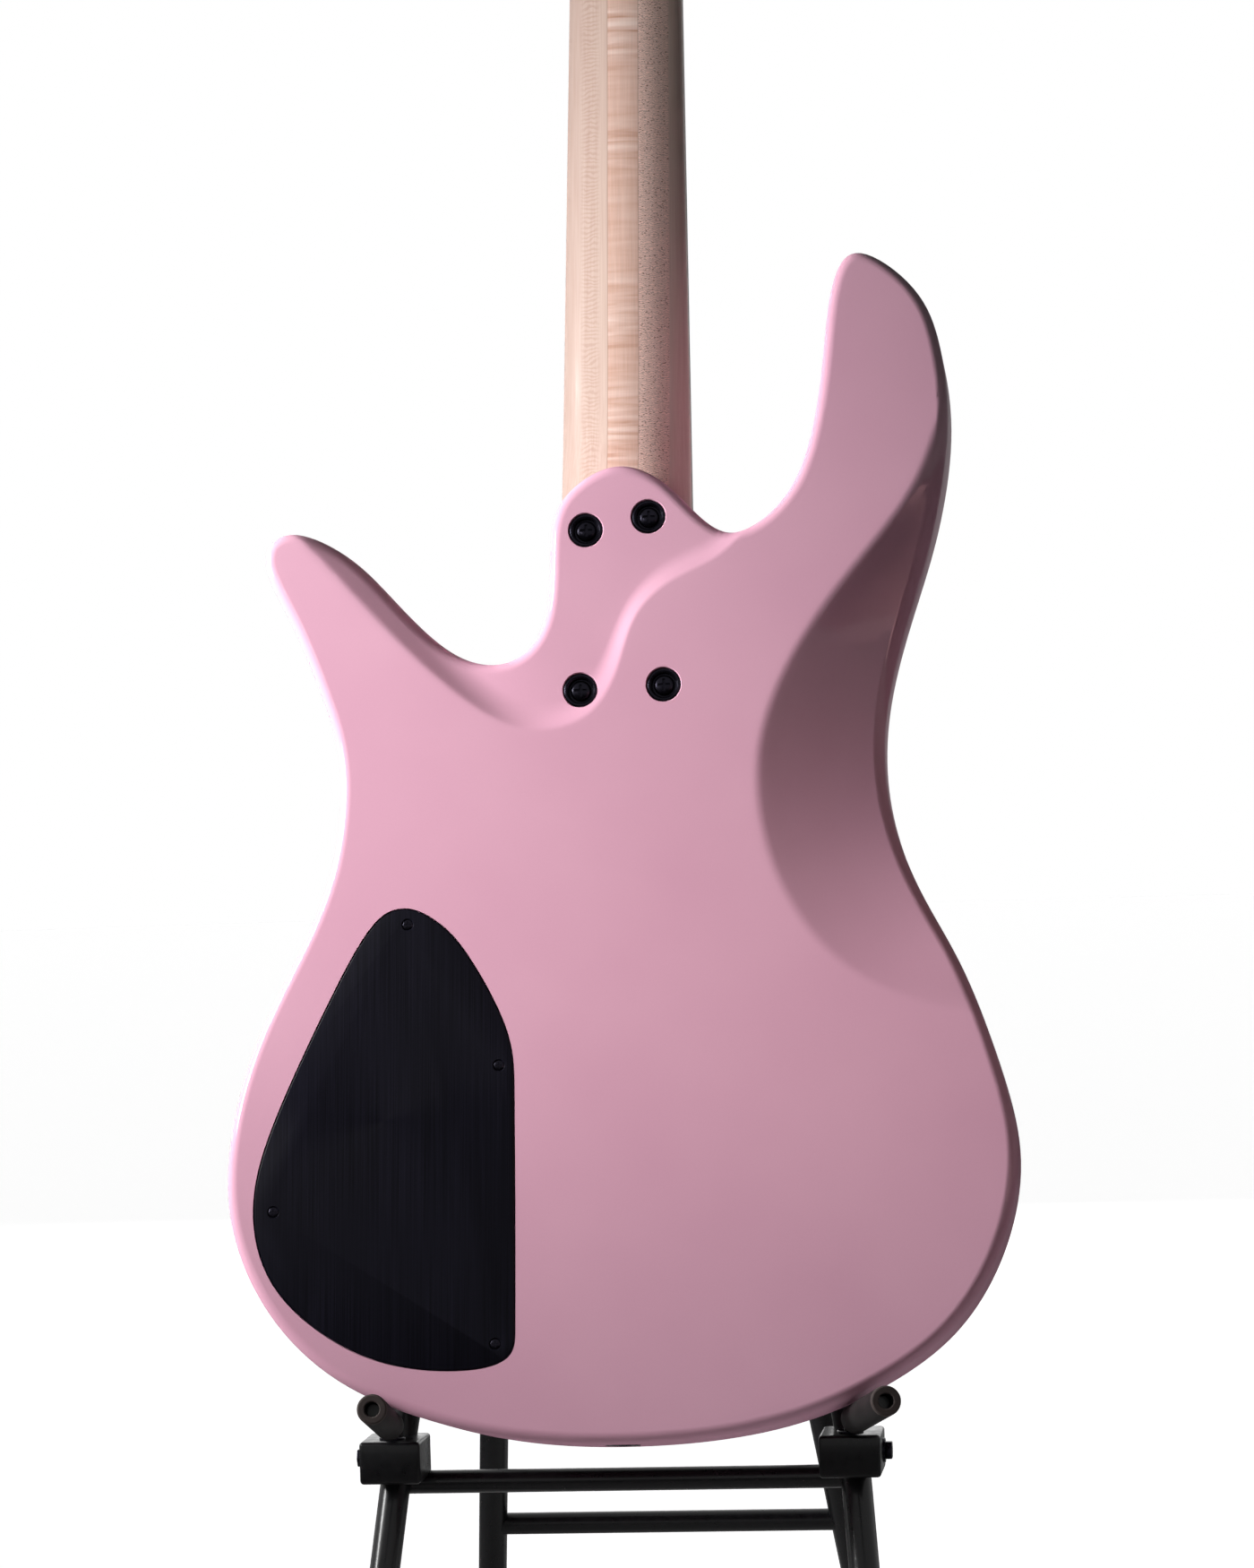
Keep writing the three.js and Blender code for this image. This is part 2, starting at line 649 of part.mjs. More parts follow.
function makeToggle() {
  const reach = 15;
  const inside = 5;
  const lever = new THREE.LatheGeometry([[0, -inside], [1.6, -inside], [1.6, 2], [2.6, reach - 2],
    [1.8, reach], [0, reach]].map(([r, h]) => new THREE.Vector2(r, h)), 14);
  lever.rotateX(-Math.PI / 2);
  return solid(lever);
}

function makeJack() {
  const [x, y] = jackPlace;
  const middle = -bodyThickness / 2;
  const barrel = joined(
    rodBetween(vec(x + jackRecess, y, middle), vec(x + jackRecess + jackFlange, y, middle), jackRadius, 24),
    rodBetween(vec(x + jackFlange, y, middle), vec(x + jackLength, y, middle), jackRadius - jackStep, 24),
  );
  const boreEnd = vec(x + jackLength - jackFlange, y, middle);
  return barrel.subtract(rodBetween(vec(x, y, middle), boreEnd, jackBore, 16));
}

function makeControlBoard() {
  const ring = insetRing(coverRing, cavityLedge + circuitMargin).filter((p) => p.y > circuitEndY);
  let board = prism(ring, -circuitDepth, -circuitDepth + circuitThickness);
  const potFloor = face + cavityWall + seatGap;
  for (const [x, y] of knobPlaces) {
    const pot = rodZ(potRadius, potFloor, -circuitDepth + 0.5, x, y, 12);
    board = board.add(pot);
  }
  for (const [x, y] of knobPlaces) {
    board = board.subtract(rodZ(shaftRadius + holeClearance, face, -circuitDepth + 0.4, x, y, 12));
  }
  return board;
}

function makeStrapSocket() {
  const barrel = strapRadius - strapStep;
  const rim = strapDepth - 0.4;
  const under = rim - strapFlange;
  const profile = [[0, 0], [barrel, 0], [barrel, under - strapStep], [strapRadius, under],
    [strapRadius, rim], [strapBore, rim], [strapBore, strapFloor], [0, strapFloor]];
  const lathe = new THREE.LatheGeometry(profile.map(([r, h]) => new THREE.Vector2(r, h)), 16);
  return solid(lathe);
}

// ---------------------------------------------------------------- fasteners
function makeFerrule() {
  const bore = neckScrewRadius + 0.5;
  const seat = neckScrewHeadRadius + 0.6;
  const profile = [[bore, -ferruleHeight], [ferruleRadius - 0.8, -ferruleHeight], [ferruleRadius, -0.6],
    [ferruleRadius - 0.6, 0], [seat + 0.6, 0], [seat, -0.8], [seat, -ferruleSeat], [bore, -ferruleSeat],
    [bore, -ferruleHeight]];
  return solid(new THREE.LatheGeometry(profile.map(([r, h]) => new THREE.Vector2(r, h)), 18)
    .rotateX(Math.PI / 2));
}

function makeNeckScrew() {
  const head = neckScrewHeadRadius;
  const under = -ferruleSeat + seatGap;
  const profile = [[0, -neckScrewLength], [neckScrewRadius, -neckScrewLength + 3], [neckScrewRadius, under],
    [head, under], [head, under + 1], [head * 0.7, under + 2.1], [0, under + 2.6]];
  const screw = solid(new THREE.LatheGeometry(profile.map(([r, h]) => new THREE.Vector2(r, h)), 12)
    .rotateX(Math.PI / 2));
  return cut(screw, box(4.4, 0.9, 3, 0, 0, under + 2.6), box(0.9, 4.4, 3, 0, 0, under + 2.6));
}

// ---------------------------------------------------------------- machine heads, in the headstock's frame
const housingBase = headThickness + seatGap;
const gearLow = housingBase + housingWall;
const gearHigh = gearLow + gearThickness;
const keyAxis = (gearLow + gearHigh) / 2;

function makeHousing(side) {
  const [width, length, height] = housingSize;
  const middleY = wormOffset / 2;
  const shell = box(width, length, height, 0, middleY, housingBase + height / 2);
  const walls = 2 * housingWall;
  const hollow = [width - walls, length - walls, height];
  const pocket = box(...hollow, 0, middleY, housingBase + height / 2 - housingWall);
  const bore = rodBetween(vec(0, wormOffset, keyAxis), vec(side * width, wormOffset, keyAxis),
    keyShaftRadius + holeClearance, 14);
  return cut(shell, pocket, bore);
}

function makePost() {
  return joined(
    rodZ(gearRadius, gearLow, gearHigh, 0, 0, 12),
    rodZ(postRadius - 0.7, -postReach / 2, gearLow + 0.5, 0, 0, 12),
    rodZ(postRadius, -postReach, -2, 0, 0, 12),
    rodZ(wrapRadius, -wrapRise[1], -wrapRise[0], 0, 0, 12),
  );
}

// key along local +X from its worm, which sits at the local origin
function makeKey(reach) {
  const [halfWidth, halfHeight, thickness] = keyButton;
  const button = new THREE.Shape();
  button.absellipse(0, 0, halfWidth, halfHeight, 0, 2 * Math.PI);
  const edge = { depth: thickness, bevelEnabled: false, curveSegments: 10 };
  const paddle = new THREE.ExtrudeGeometry(button, edge);
  const wormEnd = wormLength / 2;
  return joined(
    rodBetween(vec(-wormEnd, 0, 0), vec(wormEnd, 0, 0), wormRadius, 12),
    rodBetween(vec(wormEnd - 1, 0, 0), vec(reach + 4, 0, 0), keyShaftRadius, 14),
    solid(paddle, at(reach + halfWidth - 2, 0, -thickness / 2)),
  );
}

// ---------------------------------------------------------------- stand layout
const leanFrame = new THREE.Group();
leanFrame.position.set(0, 0, seatHeight);
leanFrame.rotation.x = radians(90 - lean);
leanFrame.updateMatrix();
const leaned = (x, y, z) => vec(x, y, z).applyMatrix4(leanFrame.matrix);

const sides = { left: -1, right: 1 };
function armDirection(side) {
  const swing = radians(armSwing[side]);
  const rise = radians(armRise);
  return vec(Math.sin(swing) * Math.cos(rise), -Math.cos(swing) * Math.cos(rise), Math.sin(rise));
}
const seatRing = splineRing(bodyControls, 16);
const leanInverse = leanFrame.matrix.clone().invert();
function armSlope(side) {
  const along = armDirection(side).transformDirection(leanInverse);
  return { x: along.x / along.z, y: along.y / along.z };
}
function armPoint(side, depth) {
  const slope = armSlope(side);
  const x = (sides[side] * armSpacing) / 2 + slope.x * (pinDepth - depth);
  return vec(x, slope.y * (seatDepth - depth), -depth);
}

// height on the guitar of an arm axis that just carries the body, over both rounded edges
function seatOn(side) {
  const reach = armSleeveRadius + seatGap;
  const slope = armSlope(side);
  const wide = reach * Math.hypot(1, slope.x);
  const tall = reach * Math.hypot(1, slope.y);
  const overEdge = edgeRound * (Math.hypot(1, slope.y) - 1); // the rounded edge meets the rising arm
  const heights = [edgeRound, bodyThickness / 2, bodyThickness - edgeRound].map((depth) => {
    const axis = armPoint(side, depth);
    const x = axis.x - guitarOffset;
    const near = seatRing.filter((p) => p.y < 120 && Math.abs(p.x - x) < wide);
    return Math.min(...near.map((p) => p.y - tall * Math.sqrt(1 - ((p.x - x) / wide) ** 2))) - axis.y;
  });
  return { x: armPoint(side, seatDepth).x - guitarOffset, y: Math.min(...heights) - overEdge };
}
const leftSeat = seatOn('left');
const rightSeat = seatOn('right');
const guitarRoll = -Math.atan2(rightSeat.y - leftSeat.y, rightSeat.x - leftSeat.x);

const guitar = new THREE.Group();
guitar.rotation.z = guitarRoll;
guitar.position.set(
  leftSeat.x + guitarOffset - (leftSeat.x * Math.cos(guitarRoll) - leftSeat.y * Math.sin(guitarRoll)),
  -(leftSeat.x * Math.sin(guitarRoll) + leftSeat.y * Math.cos(guitarRoll)),
  0,
);

// ---------------------------------------------------------------- stand pieces
const restDepth = bodyThickness + seatGap + restSleeveRadius;
const legBendRun = 18;
const restBendY = restTop - restLength - legBendRun - 3;
const bracketY = leaned(0, 0, -legDepth).y;
function armPin(side) {
  const root = armPoint(side, pinDepth);
  return leaned(root.x, root.y, root.z);
}
const lowestPin = Math.min(armPin('left').z, armPin('right').z);
const bracketHeight = lowestPin - armRadius - armClearance - bracketSize[2] / 2;
const crossbarHeight = bracketHeight - crossbarDrop;
const pinAt = (side) => vec((sides[side] * armSpacing) / 2, armPin(side).y, bracketHeight);

function legPoints(sign) {
  const top = leaned((sign * restSpacing) / 2, restTop, -restDepth);
  const bend = leaned((sign * restSpacing) / 2, restBendY, -restDepth);
  const knee = vec((sign * armSpacing) / 2, bracketY, bracketHeight);
  const foot = vec((sign * frontFootSpacing) / 2, frontFootY, 6);
  return { top, bend, knee, foot };
}

function pointUpLeg(sign, along) {
  const { bend, knee } = legPoints(sign);
  const height = leaned(0, along, 0).z;
  const share = (height - knee.z) / (bend.z - knee.z);
  return knee.clone().lerp(bend, share);
}

const hingeLeg = pointUpLeg(1, hingeAlong);
const hinge = vec(0, hingeLeg.y + hingeOffset, hingeLeg.z);
const rearFootHeight = 6;
const rearLegAngle = Math.atan2(rearFootReach, hinge.z - rearFootHeight);
const rearLegX = (height) => {
  const share = (hinge.z - height) / (hinge.z - rearFootHeight);
  return (rearLegSpacing + (rearFootSpacing - rearLegSpacing) * share) / 2;
};
const rearLegY = (height) => hinge.y + (hinge.z - height) * Math.tan(rearLegAngle);

const lugDrop = eyeRadius + stopRun + stopSize[2] / 2 + 1; // lug below the hinge
const lugInner = rearLegX(hinge.z - lugDrop) + legRadius + 1;
const boreReach = lugInner + lugThickness + 20;
const hingeBore = () => rodBetween(vec(-boreReach, hinge.y, hinge.z), vec(boreReach, hinge.y, hinge.z),
  hingeRodRadius + holeClearance, 16);

function makeFrontFrame() {
  let frame = null;
  const add = (solidPiece) => {
    frame = frame ? frame.add(solidPiece) : solidPiece;
  };
  for (const side of ['left', 'right']) {
    const sign = sides[side];
    const { top, bend, knee, foot } = legPoints(sign);
    add(bar(rounded([top, bend, knee, foot], legBendRun), legRadius, 16));
    const pin = pinAt(side);
    add(box(...bracketSize, pin.x, pin.y + bracketSize[1] / 2 - bracketFront, bracketHeight));
    // hinge lug: a plate from the leg to the hinge rod, with a stop above the rear leg
    const lugX = sign * (lugInner + lugThickness / 2);
    const legY = pointUpLeg(1, hingeAlong).y;
    add(box(lugThickness, hinge.y - legY + eyeRadius, eyeRadius + lugDrop, lugX,
      (hinge.y + legY + eyeRadius) / 2, hinge.z + (eyeRadius - lugDrop) / 2));
    const turned = (x) => new THREE.Matrix4().makeRotationX(rearLegAngle).setPosition(x, hinge.y, hinge.z);
    const stopReach = legRadius + 2 * seatGap;
    const stop = new THREE.BoxGeometry(...stopSize);
    stop.translate(0, stopReach + stopSize[1] / 2, -eyeRadius - stopRun);
    add(solid(stop, turned(lugX - sign * lugThickness)));
    const webWidth = stopReach + stopSize[1] + eyeRadius;
    const web = new THREE.BoxGeometry(lugThickness, webWidth, stopSize[2] + 4);
    web.translate(0, webWidth / 2 - eyeRadius, -eyeRadius - stopRun + 2);
    add(solid(web, turned(lugX)));
  }
  const span = armSpacing / 2;
  add(rodBetween(vec(-span, bracketY, crossbarHeight), vec(span, bracketY, crossbarHeight), crossbarRadius));
  const bore = armRadius + holeClearance;
  for (const side of ['left', 'right']) {
    const pin = pinAt(side);
    frame = frame.subtract(rodZ(bore, bracketHeight - bracketSize[2], bracketHeight + bracketSize[2],
      pin.x, pin.y, 16));
  }
  return frame.subtract(hingeBore());
}

function makeRearFrame() {
  let frame = null;
  for (const sign of [-1, 1]) {
    const top = vec((sign * rearLegSpacing) / 2, hinge.y, hinge.z);
    const foot = vec((sign * rearFootSpacing) / 2, hinge.y + rearFootReach, rearFootHeight);
    const leg = rodBetween(top, foot, legRadius, 16);
    const eye = rodBetween(top.clone().add(vec(-legRadius, 0, 0)), top.clone().add(vec(legRadius, 0, 0)),
      eyeRadius, 20);
    frame = frame ? joined(frame, leg, eye) : leg.add(eye);
  }
  const barX = rearLegX(rearCrossbarHeight);
  const barY = rearLegY(rearCrossbarHeight);
  frame = frame.add(rodBetween(vec(-barX, barY, rearCrossbarHeight), vec(barX, barY, rearCrossbarHeight),
    crossbarRadius));
  return frame.subtract(hingeBore()).transform(at(0, -hinge.y, -hinge.z).elements);
}

const rodHalfLength = lugInner + lugThickness + 2.5;
function makeHingeRod() {
  const end = vec(rodHalfLength, 0, 0);
  const capStart = lugInner + lugThickness + seatGap;
  return joined(
    rodBetween(end.clone().negate(), end, hingeRodRadius, 16),
    rodBetween(vec(capStart, 0, 0), end, hingeRodRadius + 1.6, 16),
    rodBetween(vec(-capStart, 0, 0), end.clone().negate(), hingeRodRadius + 1.6, 16),
  );
}

// arm in a frame whose origin is where its axis meets the pin's axis
const armTipAt = 16; // straight run before the sleeve starts
function makeArm(side) {
  const along = armDirection(side);
  const pinLow = bracketHeight - bracketSize[2] / 2 - armPin(side).z;
  const path = rounded([vec(0, 0, pinLow), vec(0, 0, 0), along.clone().multiplyScalar(armLength)], 6);
  return bar(path, armRadius, 12);
}

function makeArmSleeve(side) {
  const along = armDirection(side);
  const start = along.clone().multiplyScalar(armTipAt);
  const end = along.clone().multiplyScalar(armLength + sleeveOverhang);
  const outer = rodBetween(start, end, armSleeveRadius, 20);
  const past = along.clone().multiplyScalar(armLength + sleeveOverhang + 2);
  const before = along.clone().multiplyScalar(armTipAt - 2);
  return outer.subtract(rodBetween(before, past, armRadius + seatGap, 16));
}

function makeRestSleeve(sign) {
  const { top, bend } = legPoints(sign);
  const along = top.clone().sub(bend).normalize();
  const start = top.clone().addScaledVector(along, -restLength);
  const end = top.clone().addScaledVector(along, 3);
  const outer = rodBetween(start, end, restSleeveRadius, 20);
  const before = start.clone().addScaledVector(along, -2);
  const bottom = top.clone().addScaledVector(along, seatGap);
  return outer.subtract(rodBetween(before, bottom, legRadius + seatGap, 16));
}

function makeFoot(legFrom, legTo) {
  const along = legTo.clone().sub(legFrom).normalize();
  const end = legTo.clone().addScaledVector(along, seatGap);
  const x = legTo.x;
  const y = legTo.y;
  const cap = new THREE.CylinderGeometry(footRadius - 1, footRadius, footHeight, 24);
  cap.rotateX(Math.PI / 2);
  return solid(cap, at(x, y, footHeight / 2)).subtract(rodBetween(legFrom, end, legRadius + seatGap, 16));
}

// ---------------------------------------------------------------- assembly
const root = new THREE.Group();
const stand = new THREE.Group();
root.add(stand);
root.add(leanFrame);
leanFrame.add(guitar);

piece(guitar, 'body', makeBody(), pinkLacquer);
piece(guitar, 'control_cover', prism(coverRing, -coverThickness, 0), blackPlate);
piece(guitar, 'neck', makeNeck(), maple);
piece(guitar, 'fretboard', makeFretboard(), ebony);
piece(guitar, 'nut', makeNut(), bone);
piece(guitar, 'truss_rod', box(trussWidth, trussEndY - trussStartY, trussDepth - seatGap, 0,
  (trussStartY + trussEndY) / 2, boardUnder + (trussDepth - seatGap) / 2), steel);

ferrulePlaces.forEach(([x, y, surface], i) => {
  piece(guitar, `neck_ferrule_${i + 1}`, makeFerrule(), blackMetal, vec(x, y, surface));
  piece(guitar, `neck_screw_${i + 1}`, makeNeckScrew(), blackMetal, vec(x, y, surface));
});

const pickupMiddle = face - pickupProud + pickupSize[2] / 2;
piece(guitar, 'neck_pickup', box(...pickupSize), plasticBlack, vec(0, neckPickupY, pickupMiddle));
piece(guitar, 'bridge_pickup', box(...pickupSize), plasticBlack, vec(0, bridgePickupY, pickupMiddle));
piece(guitar, 'bridge_plate', makeBridgePlate(), blackMetal);
stringRadii.forEach((radius, i) => {
  const x = stringX(i, stringSpacingAtSaddle);
  piece(guitar, `saddle_${i + 1}`, makeSaddle(radius), blackMetal, vec(x, saddleY, 0));
  piece(guitar, `string_${i + 1}`, makeString(i), steel);
});

knobPlaces.forEach(([x, y], i) => {
  piece(guitar, `knob_${i + 1}`, makeKnob(), blackMetal, vec(x, y, face - seatGap));
});
piece(guitar, 'toggle_lever', makeToggle(), blackMetal, vec(togglePlace[0], togglePlace[1], face));
piece(guitar, 'output_jack', makeJack(), blackMetal);
piece(guitar, 'control_board', makeControlBoard(), circuitGreen);
const batteryZ = -circuitDepth + circuitThickness + batteryGap + batterySize[2] / 2;
piece(guitar, 'battery', box(...batterySize, ...batteryPlace, batteryZ), plasticBlack);

const tailSocket = piece(guitar, 'strap_socket_tail', makeStrapSocket(), blackMetal,
  vec(0, strapDepth - 0.4, -bodyThickness / 2));
tailSocket.rotation.z = Math.PI;
piece(guitar, 'strap_socket_horn', makeStrapSocket(), blackMetal,
  vec(hornStrapPlace[0], hornStrapPlace[1] - strapDepth + 0.4, -bodyThickness / 2));

const head = new THREE.Group();
head.applyMatrix4(headMatrix);
guitar.add(head);
tunerPlaces.forEach(([x, y], i) => {
  const side = Math.sign(x);
  const reach = keyEdge - Math.abs(x);
  piece(head, `tuner_housing_${i + 1}`, makeHousing(side), blackMetal, vec(x, y, 0));
  piece(head, `tuner_post_${i + 1}`, makePost(), blackMetal, vec(x, y, 0));
  const key = piece(head, `tuner_key_${i + 1}`, makeKey(reach), blackMetal, vec(x, y + wormOffset, keyAxis));
  key.rotation.y = side > 0 ? 0 : Math.PI;
});

piece(stand, 'front_frame', makeFrontFrame(), glossBlack);
piece(stand, 'rear_frame', makeRearFrame(), glossBlack, hinge);
piece(stand, 'hinge_rod', makeHingeRod(), glossBlack, hinge);
for (const side of ['left', 'right']) {
  const sign = sides[side];
  const pin = armPin(side);
  piece(stand, `arm_${side}`, makeArm(side), glossBlack, pin);
  piece(stand, `arm_sleeve_${side}`, makeArmSleeve(side), rubber, pin);
  piece(stand, `rest_sleeve_${side}`, makeRestSleeve(sign), rubber);
  const { knee, foot } = legPoints(sign);
  piece(stand, `front_foot_${side}`, makeFoot(knee, foot), rubber);
  const rearTop = vec((sign * rearLegSpacing) / 2, hinge.y, hinge.z);
  const rearEnd = vec((sign * rearFootSpacing) / 2, hinge.y + rearFootReach, rearFootHeight);
  piece(stand, `rear_foot_${side}`, makeFoot(rearTop, rearEnd), rubber);
}

// the origin is the centre of the footprint, at floor level
root.updateMatrixWorld(true);
const bounds = new THREE.Box3().setFromObject(root, true);
root.position.set(-(bounds.min.x + bounds.max.x) / 2, -(bounds.min.y + bounds.max.y) / 2, -bounds.min.z);

export default root;
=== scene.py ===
"""A four-string bass leaning face-in on a low folding stand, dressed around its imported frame.

Shapes are drawn in millimetres in the frame of what they belong to, and set in place as they are finished.
"""

import json
import math

import bmesh
import bpy
from mathutils import Euler, Matrix, Vector
from mathutils.bvhtree import BVHTree
from mathutils.geometry import delaunay_2d_cdt


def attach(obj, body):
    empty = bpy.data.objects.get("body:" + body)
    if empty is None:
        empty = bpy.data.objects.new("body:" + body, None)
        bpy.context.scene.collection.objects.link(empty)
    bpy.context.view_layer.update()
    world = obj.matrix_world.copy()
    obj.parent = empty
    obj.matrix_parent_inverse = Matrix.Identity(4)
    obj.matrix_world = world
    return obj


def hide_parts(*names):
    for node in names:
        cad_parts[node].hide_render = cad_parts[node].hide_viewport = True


MM = 0.001
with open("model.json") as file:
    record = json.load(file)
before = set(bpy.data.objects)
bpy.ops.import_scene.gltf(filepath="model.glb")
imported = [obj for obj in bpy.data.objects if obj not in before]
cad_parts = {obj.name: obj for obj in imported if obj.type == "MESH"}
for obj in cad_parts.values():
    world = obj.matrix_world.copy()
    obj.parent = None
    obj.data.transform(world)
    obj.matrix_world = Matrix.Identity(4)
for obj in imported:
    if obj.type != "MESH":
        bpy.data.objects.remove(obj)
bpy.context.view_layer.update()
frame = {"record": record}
joints = {joint["name"]: joint for joint in frame["record"]["behaviour"]["joints"]}

# ---------------------------------------------------------------- sizes on the guitar
BODY_THICKNESS = 40
EDGE_ROUND = 4.5
FACE = -BODY_THICKNESS
BOARD_UNDER = FACE - 6
BOARD_TOP = BOARD_UNDER - 6
SCALE_LENGTH = 864
HEEL_WIDTH, NUT_WIDTH = 60, 41
SADDLE_SPACING, NUT_SPACING = 19, 10.3
SADDLE_Y = 80
NUT_Y = SADDLE_Y + SCALE_LENGTH
HEEL_Y = 292
HEEL_BLOCK_END = 388
HEAD_Y = 952
HEAD_TILT, HEAD_THICKNESS = 10, 14.5
KNOBS = [(-107, 178), (-121, 148), (-128, 114), (-124, 80)]
TOGGLE = (-112, 52)
FERRULES = [(-15.5, 318.2, -2.2), (20.4, 319.4, 0), (-13.1, 387.8, -2.2), (13.9, 393, -2.2)]
COVER_SCREWS = [(-88.9, 218.5), (-49.8, 158.1), (-145.4, 97.6), (-51.1, 41.6)]
TUNERS = [(-20, 46), (-17, 108), (17, 108), (20, 46)]
STRINGS = [0.6, 0.85, 1.1, 1.35]  # radii, thin to thick
STRING_SEAT = 1.7  # how far the strings run above the fingerboard's edge at the nut
STRING_FALL = 2.9  # how much closer to the body they are at the nut than at the saddles
PICKUPS = {"neck": 232, "bridge": 158}
PICKUP_SIZE, PICKUP_POCKET = (90, 33, 24), (91, 34, 24.3)
PICKUP_SCREWS = (-39, 39)
STRAP_HORN = (106, 507)
JACK_Y = 108

BODY_OUTLINE = [
    (-0.5, -0.5), (42, 2), (84, 11), (125, 32.5), (147, 53.5), (162.5, 83), (169.5, 118.5),
    (162, 152), (146, 198), (129, 226), (117, 254.5), (111.5, 285.5), (114.5, 319.5), (126, 357),
    (136.5, 388), (144, 431.5), (140, 465.5), (132, 490.5), (102.5, 513), (93.5, 496.5), (90.5, 477),
    (88, 446.5), (81.5, 415), (70.5, 395.5), (50, 381), (34, 393.8), (21.5, 409.3), (2, 419.3),
    (-16.4, 410.8), (-28.4, 397.3), (-28.9, 376), (-29.4, 349.4), (-39.4, 333.2), (-55, 329.2), (-74, 336.5),
    (-96, 359.5), (-112, 378), (-134, 391), (-149.5, 389.5), (-155, 376), (-139.5, 350.5),
    (-126, 316), (-116.5, 288), (-120, 242.5), (-136, 206.5), (-155.5, 170), (-166.5, 127),
    (-166, 90), (-149, 53), (-119.5, 25), (-80, 9.5), (-40, 1),
]
COVER_OUTLINE = [
    (-87.5, 226), (-99.5, 224.5), (-109, 211), (-116, 198.5), (-131.5, 167), (-147.5, 131), (-154.5, 106.5),
    (-153.5, 83), (-142.5, 59.5), (-113, 38), (-88, 31.5), (-70, 30.5), (-54.5, 31.5), (-43, 36.5), (-43, 48),
    (-43, 57), (-43, 98.5), (-43.5, 146.5), (-43.5, 164.5), (-50, 183), (-66.5, 211.5), (-78, 221),
]

# the slope down to the heel: its crest, a point beyond the body's edge that it falls towards, its width, its
# drop and the share of the width at which it is steepest for the last time
HEEL_STEP = [
    (66, 398, 62, 408, 9, 2.2, 0.5), (51, 376, 46, 410, 12, 2.2, 0.5), (34, 368, 34, 415, 12.5, 2.2, 0.5),
    (22, 362.5, 22, 428, 12.5, 2.2, 0.5), (13, 355, 2, 434, 12, 2.2, 0.5), (7, 346, -18, 430, 11.5, 2.2, 0.5),
    (4, 336, -38, 414, 11.5, 2.2, 0.5), (0, 321, -47, 388, 12, 2.2, 0.5),
    (-8, 308, -50, 366, 12.5, 2.2, 0.48), (-17, 302.5, -50, 354, 13, 2.3, 0.42),
    (-30, 299, -52, 350, 15, 2.6, 0.3), (-45, 301, -57, 347, 18, 3.1, 0.25),
    (-60, 309.5, -64, 350, 21, 3.8, 0.25), (-78, 324, -74, 356, 22, 5.2, 0.28),
    (-97, 342.5, -86, 372, 26, 7.4, 0.5), (-112, 359, -100, 390, 30, 10, 0.8),
    (-127, 376, -118, 404, 30, 12, 1), (-142, 391, -136, 408, 28, 12, 1),
]
# the belly cut: its crest, a point beyond the body's edge and the depth reached there
BELLY_CUT = [
    (152, 462, 166, 458, 5), (141, 440, 156, 434, 7), (134, 411, 158, 404, 14), (118, 387, 160, 372, 24),
    (95, 361, 160, 338, 29), (74, 331, 160, 316, 30), (61, 300, 160, 300, 30), (59, 273, 160, 282, 28),
    (64.5, 241, 162, 262, 24), (82, 210, 166, 240, 18), (106, 189, 172, 218, 12), (140, 177, 178, 196, 6),
    (176, 172, 184, 180, 5),
]
BELLY_SOFTNESS = 2.4  # half width of its rounded crest
STEP_EASE = 2.6  # how far the slope's crest takes to reach its steepest


# ---------------------------------------------------------------- frames
def millimetre_frame(across, up, back, origin):
    """The matrix that takes millimetres along three axes at an origin to metres in the row frame."""
    turn = Matrix((across, up, back)).transposed().to_4x4()
    return Matrix.Translation(origin) @ turn @ Matrix.Scale(MM, 4)


guitar_across = Vector(joints["toggle_flip"]["axis"])
guitar_up = Vector(joints["saddle_1_slide"]["axis"])
guitar_back = -Vector(joints["knob_1_turn"]["axis"])
knob_seat = Vector((*KNOBS[0], FACE - 0.3)) * MM
origin = Vector(joints["knob_1_turn"]["pos_m"])
for distance, axis in zip(knob_seat, (guitar_across, guitar_up, guitar_back)):
    origin -= distance * axis
GUITAR = millimetre_frame(guitar_across, guitar_up, guitar_back, origin)
HEAD_ON_GUITAR = Matrix.Translation((0, HEAD_Y, BOARD_UNDER)) @ Matrix.Rotation(
    math.radians(HEAD_TILT), 4, "X"
)
HEAD = GUITAR @ HEAD_ON_GUITAR

hinge = Vector(joints["rear_frame_fold"]["pos_m"])
STAND = Matrix.Translation((hinge.x, hinge.y, 0)) @ Matrix.Scale(MM, 4)  # upright, under the hinge
HINGE_HEIGHT = hinge.z / MM


# ---------------------------------------------------------------- making shapes
WELD = 1e-3  # points closer than this are one
BEND_SHARE, STRAIGHT_SHARE = 0.56, 0.2  # of the way to a neighbour, where the handles of a bar's knots lie


def polar(radius, angle, height=0):
    return Vector((radius * math.cos(angle), radius * math.sin(angle), height))


def turns_of(steps):
    """The angles of equal steps round a circle."""
    return [2 * math.pi * step / steps for step in range(steps)]


def circle(radius, steps):
    return [polar(radius, angle) for angle in turns_of(steps)]


def blank_curve(steps_per_span):
    curve = bpy.data.curves.new("drawn", "CURVE")
    curve.dimensions = "3D"
    curve.resolution_u = steps_per_span
    return curve


def drawn(curve):
    """The mesh of a curve datablock, which is then removed."""
    holder = bpy.data.objects.new("drawn", curve)
    bm = bmesh.new()
    bm.from_mesh(holder.to_mesh())
    holder.to_mesh_clear()
    bpy.data.objects.remove(holder)
    bpy.data.curves.remove(curve)
    return bm


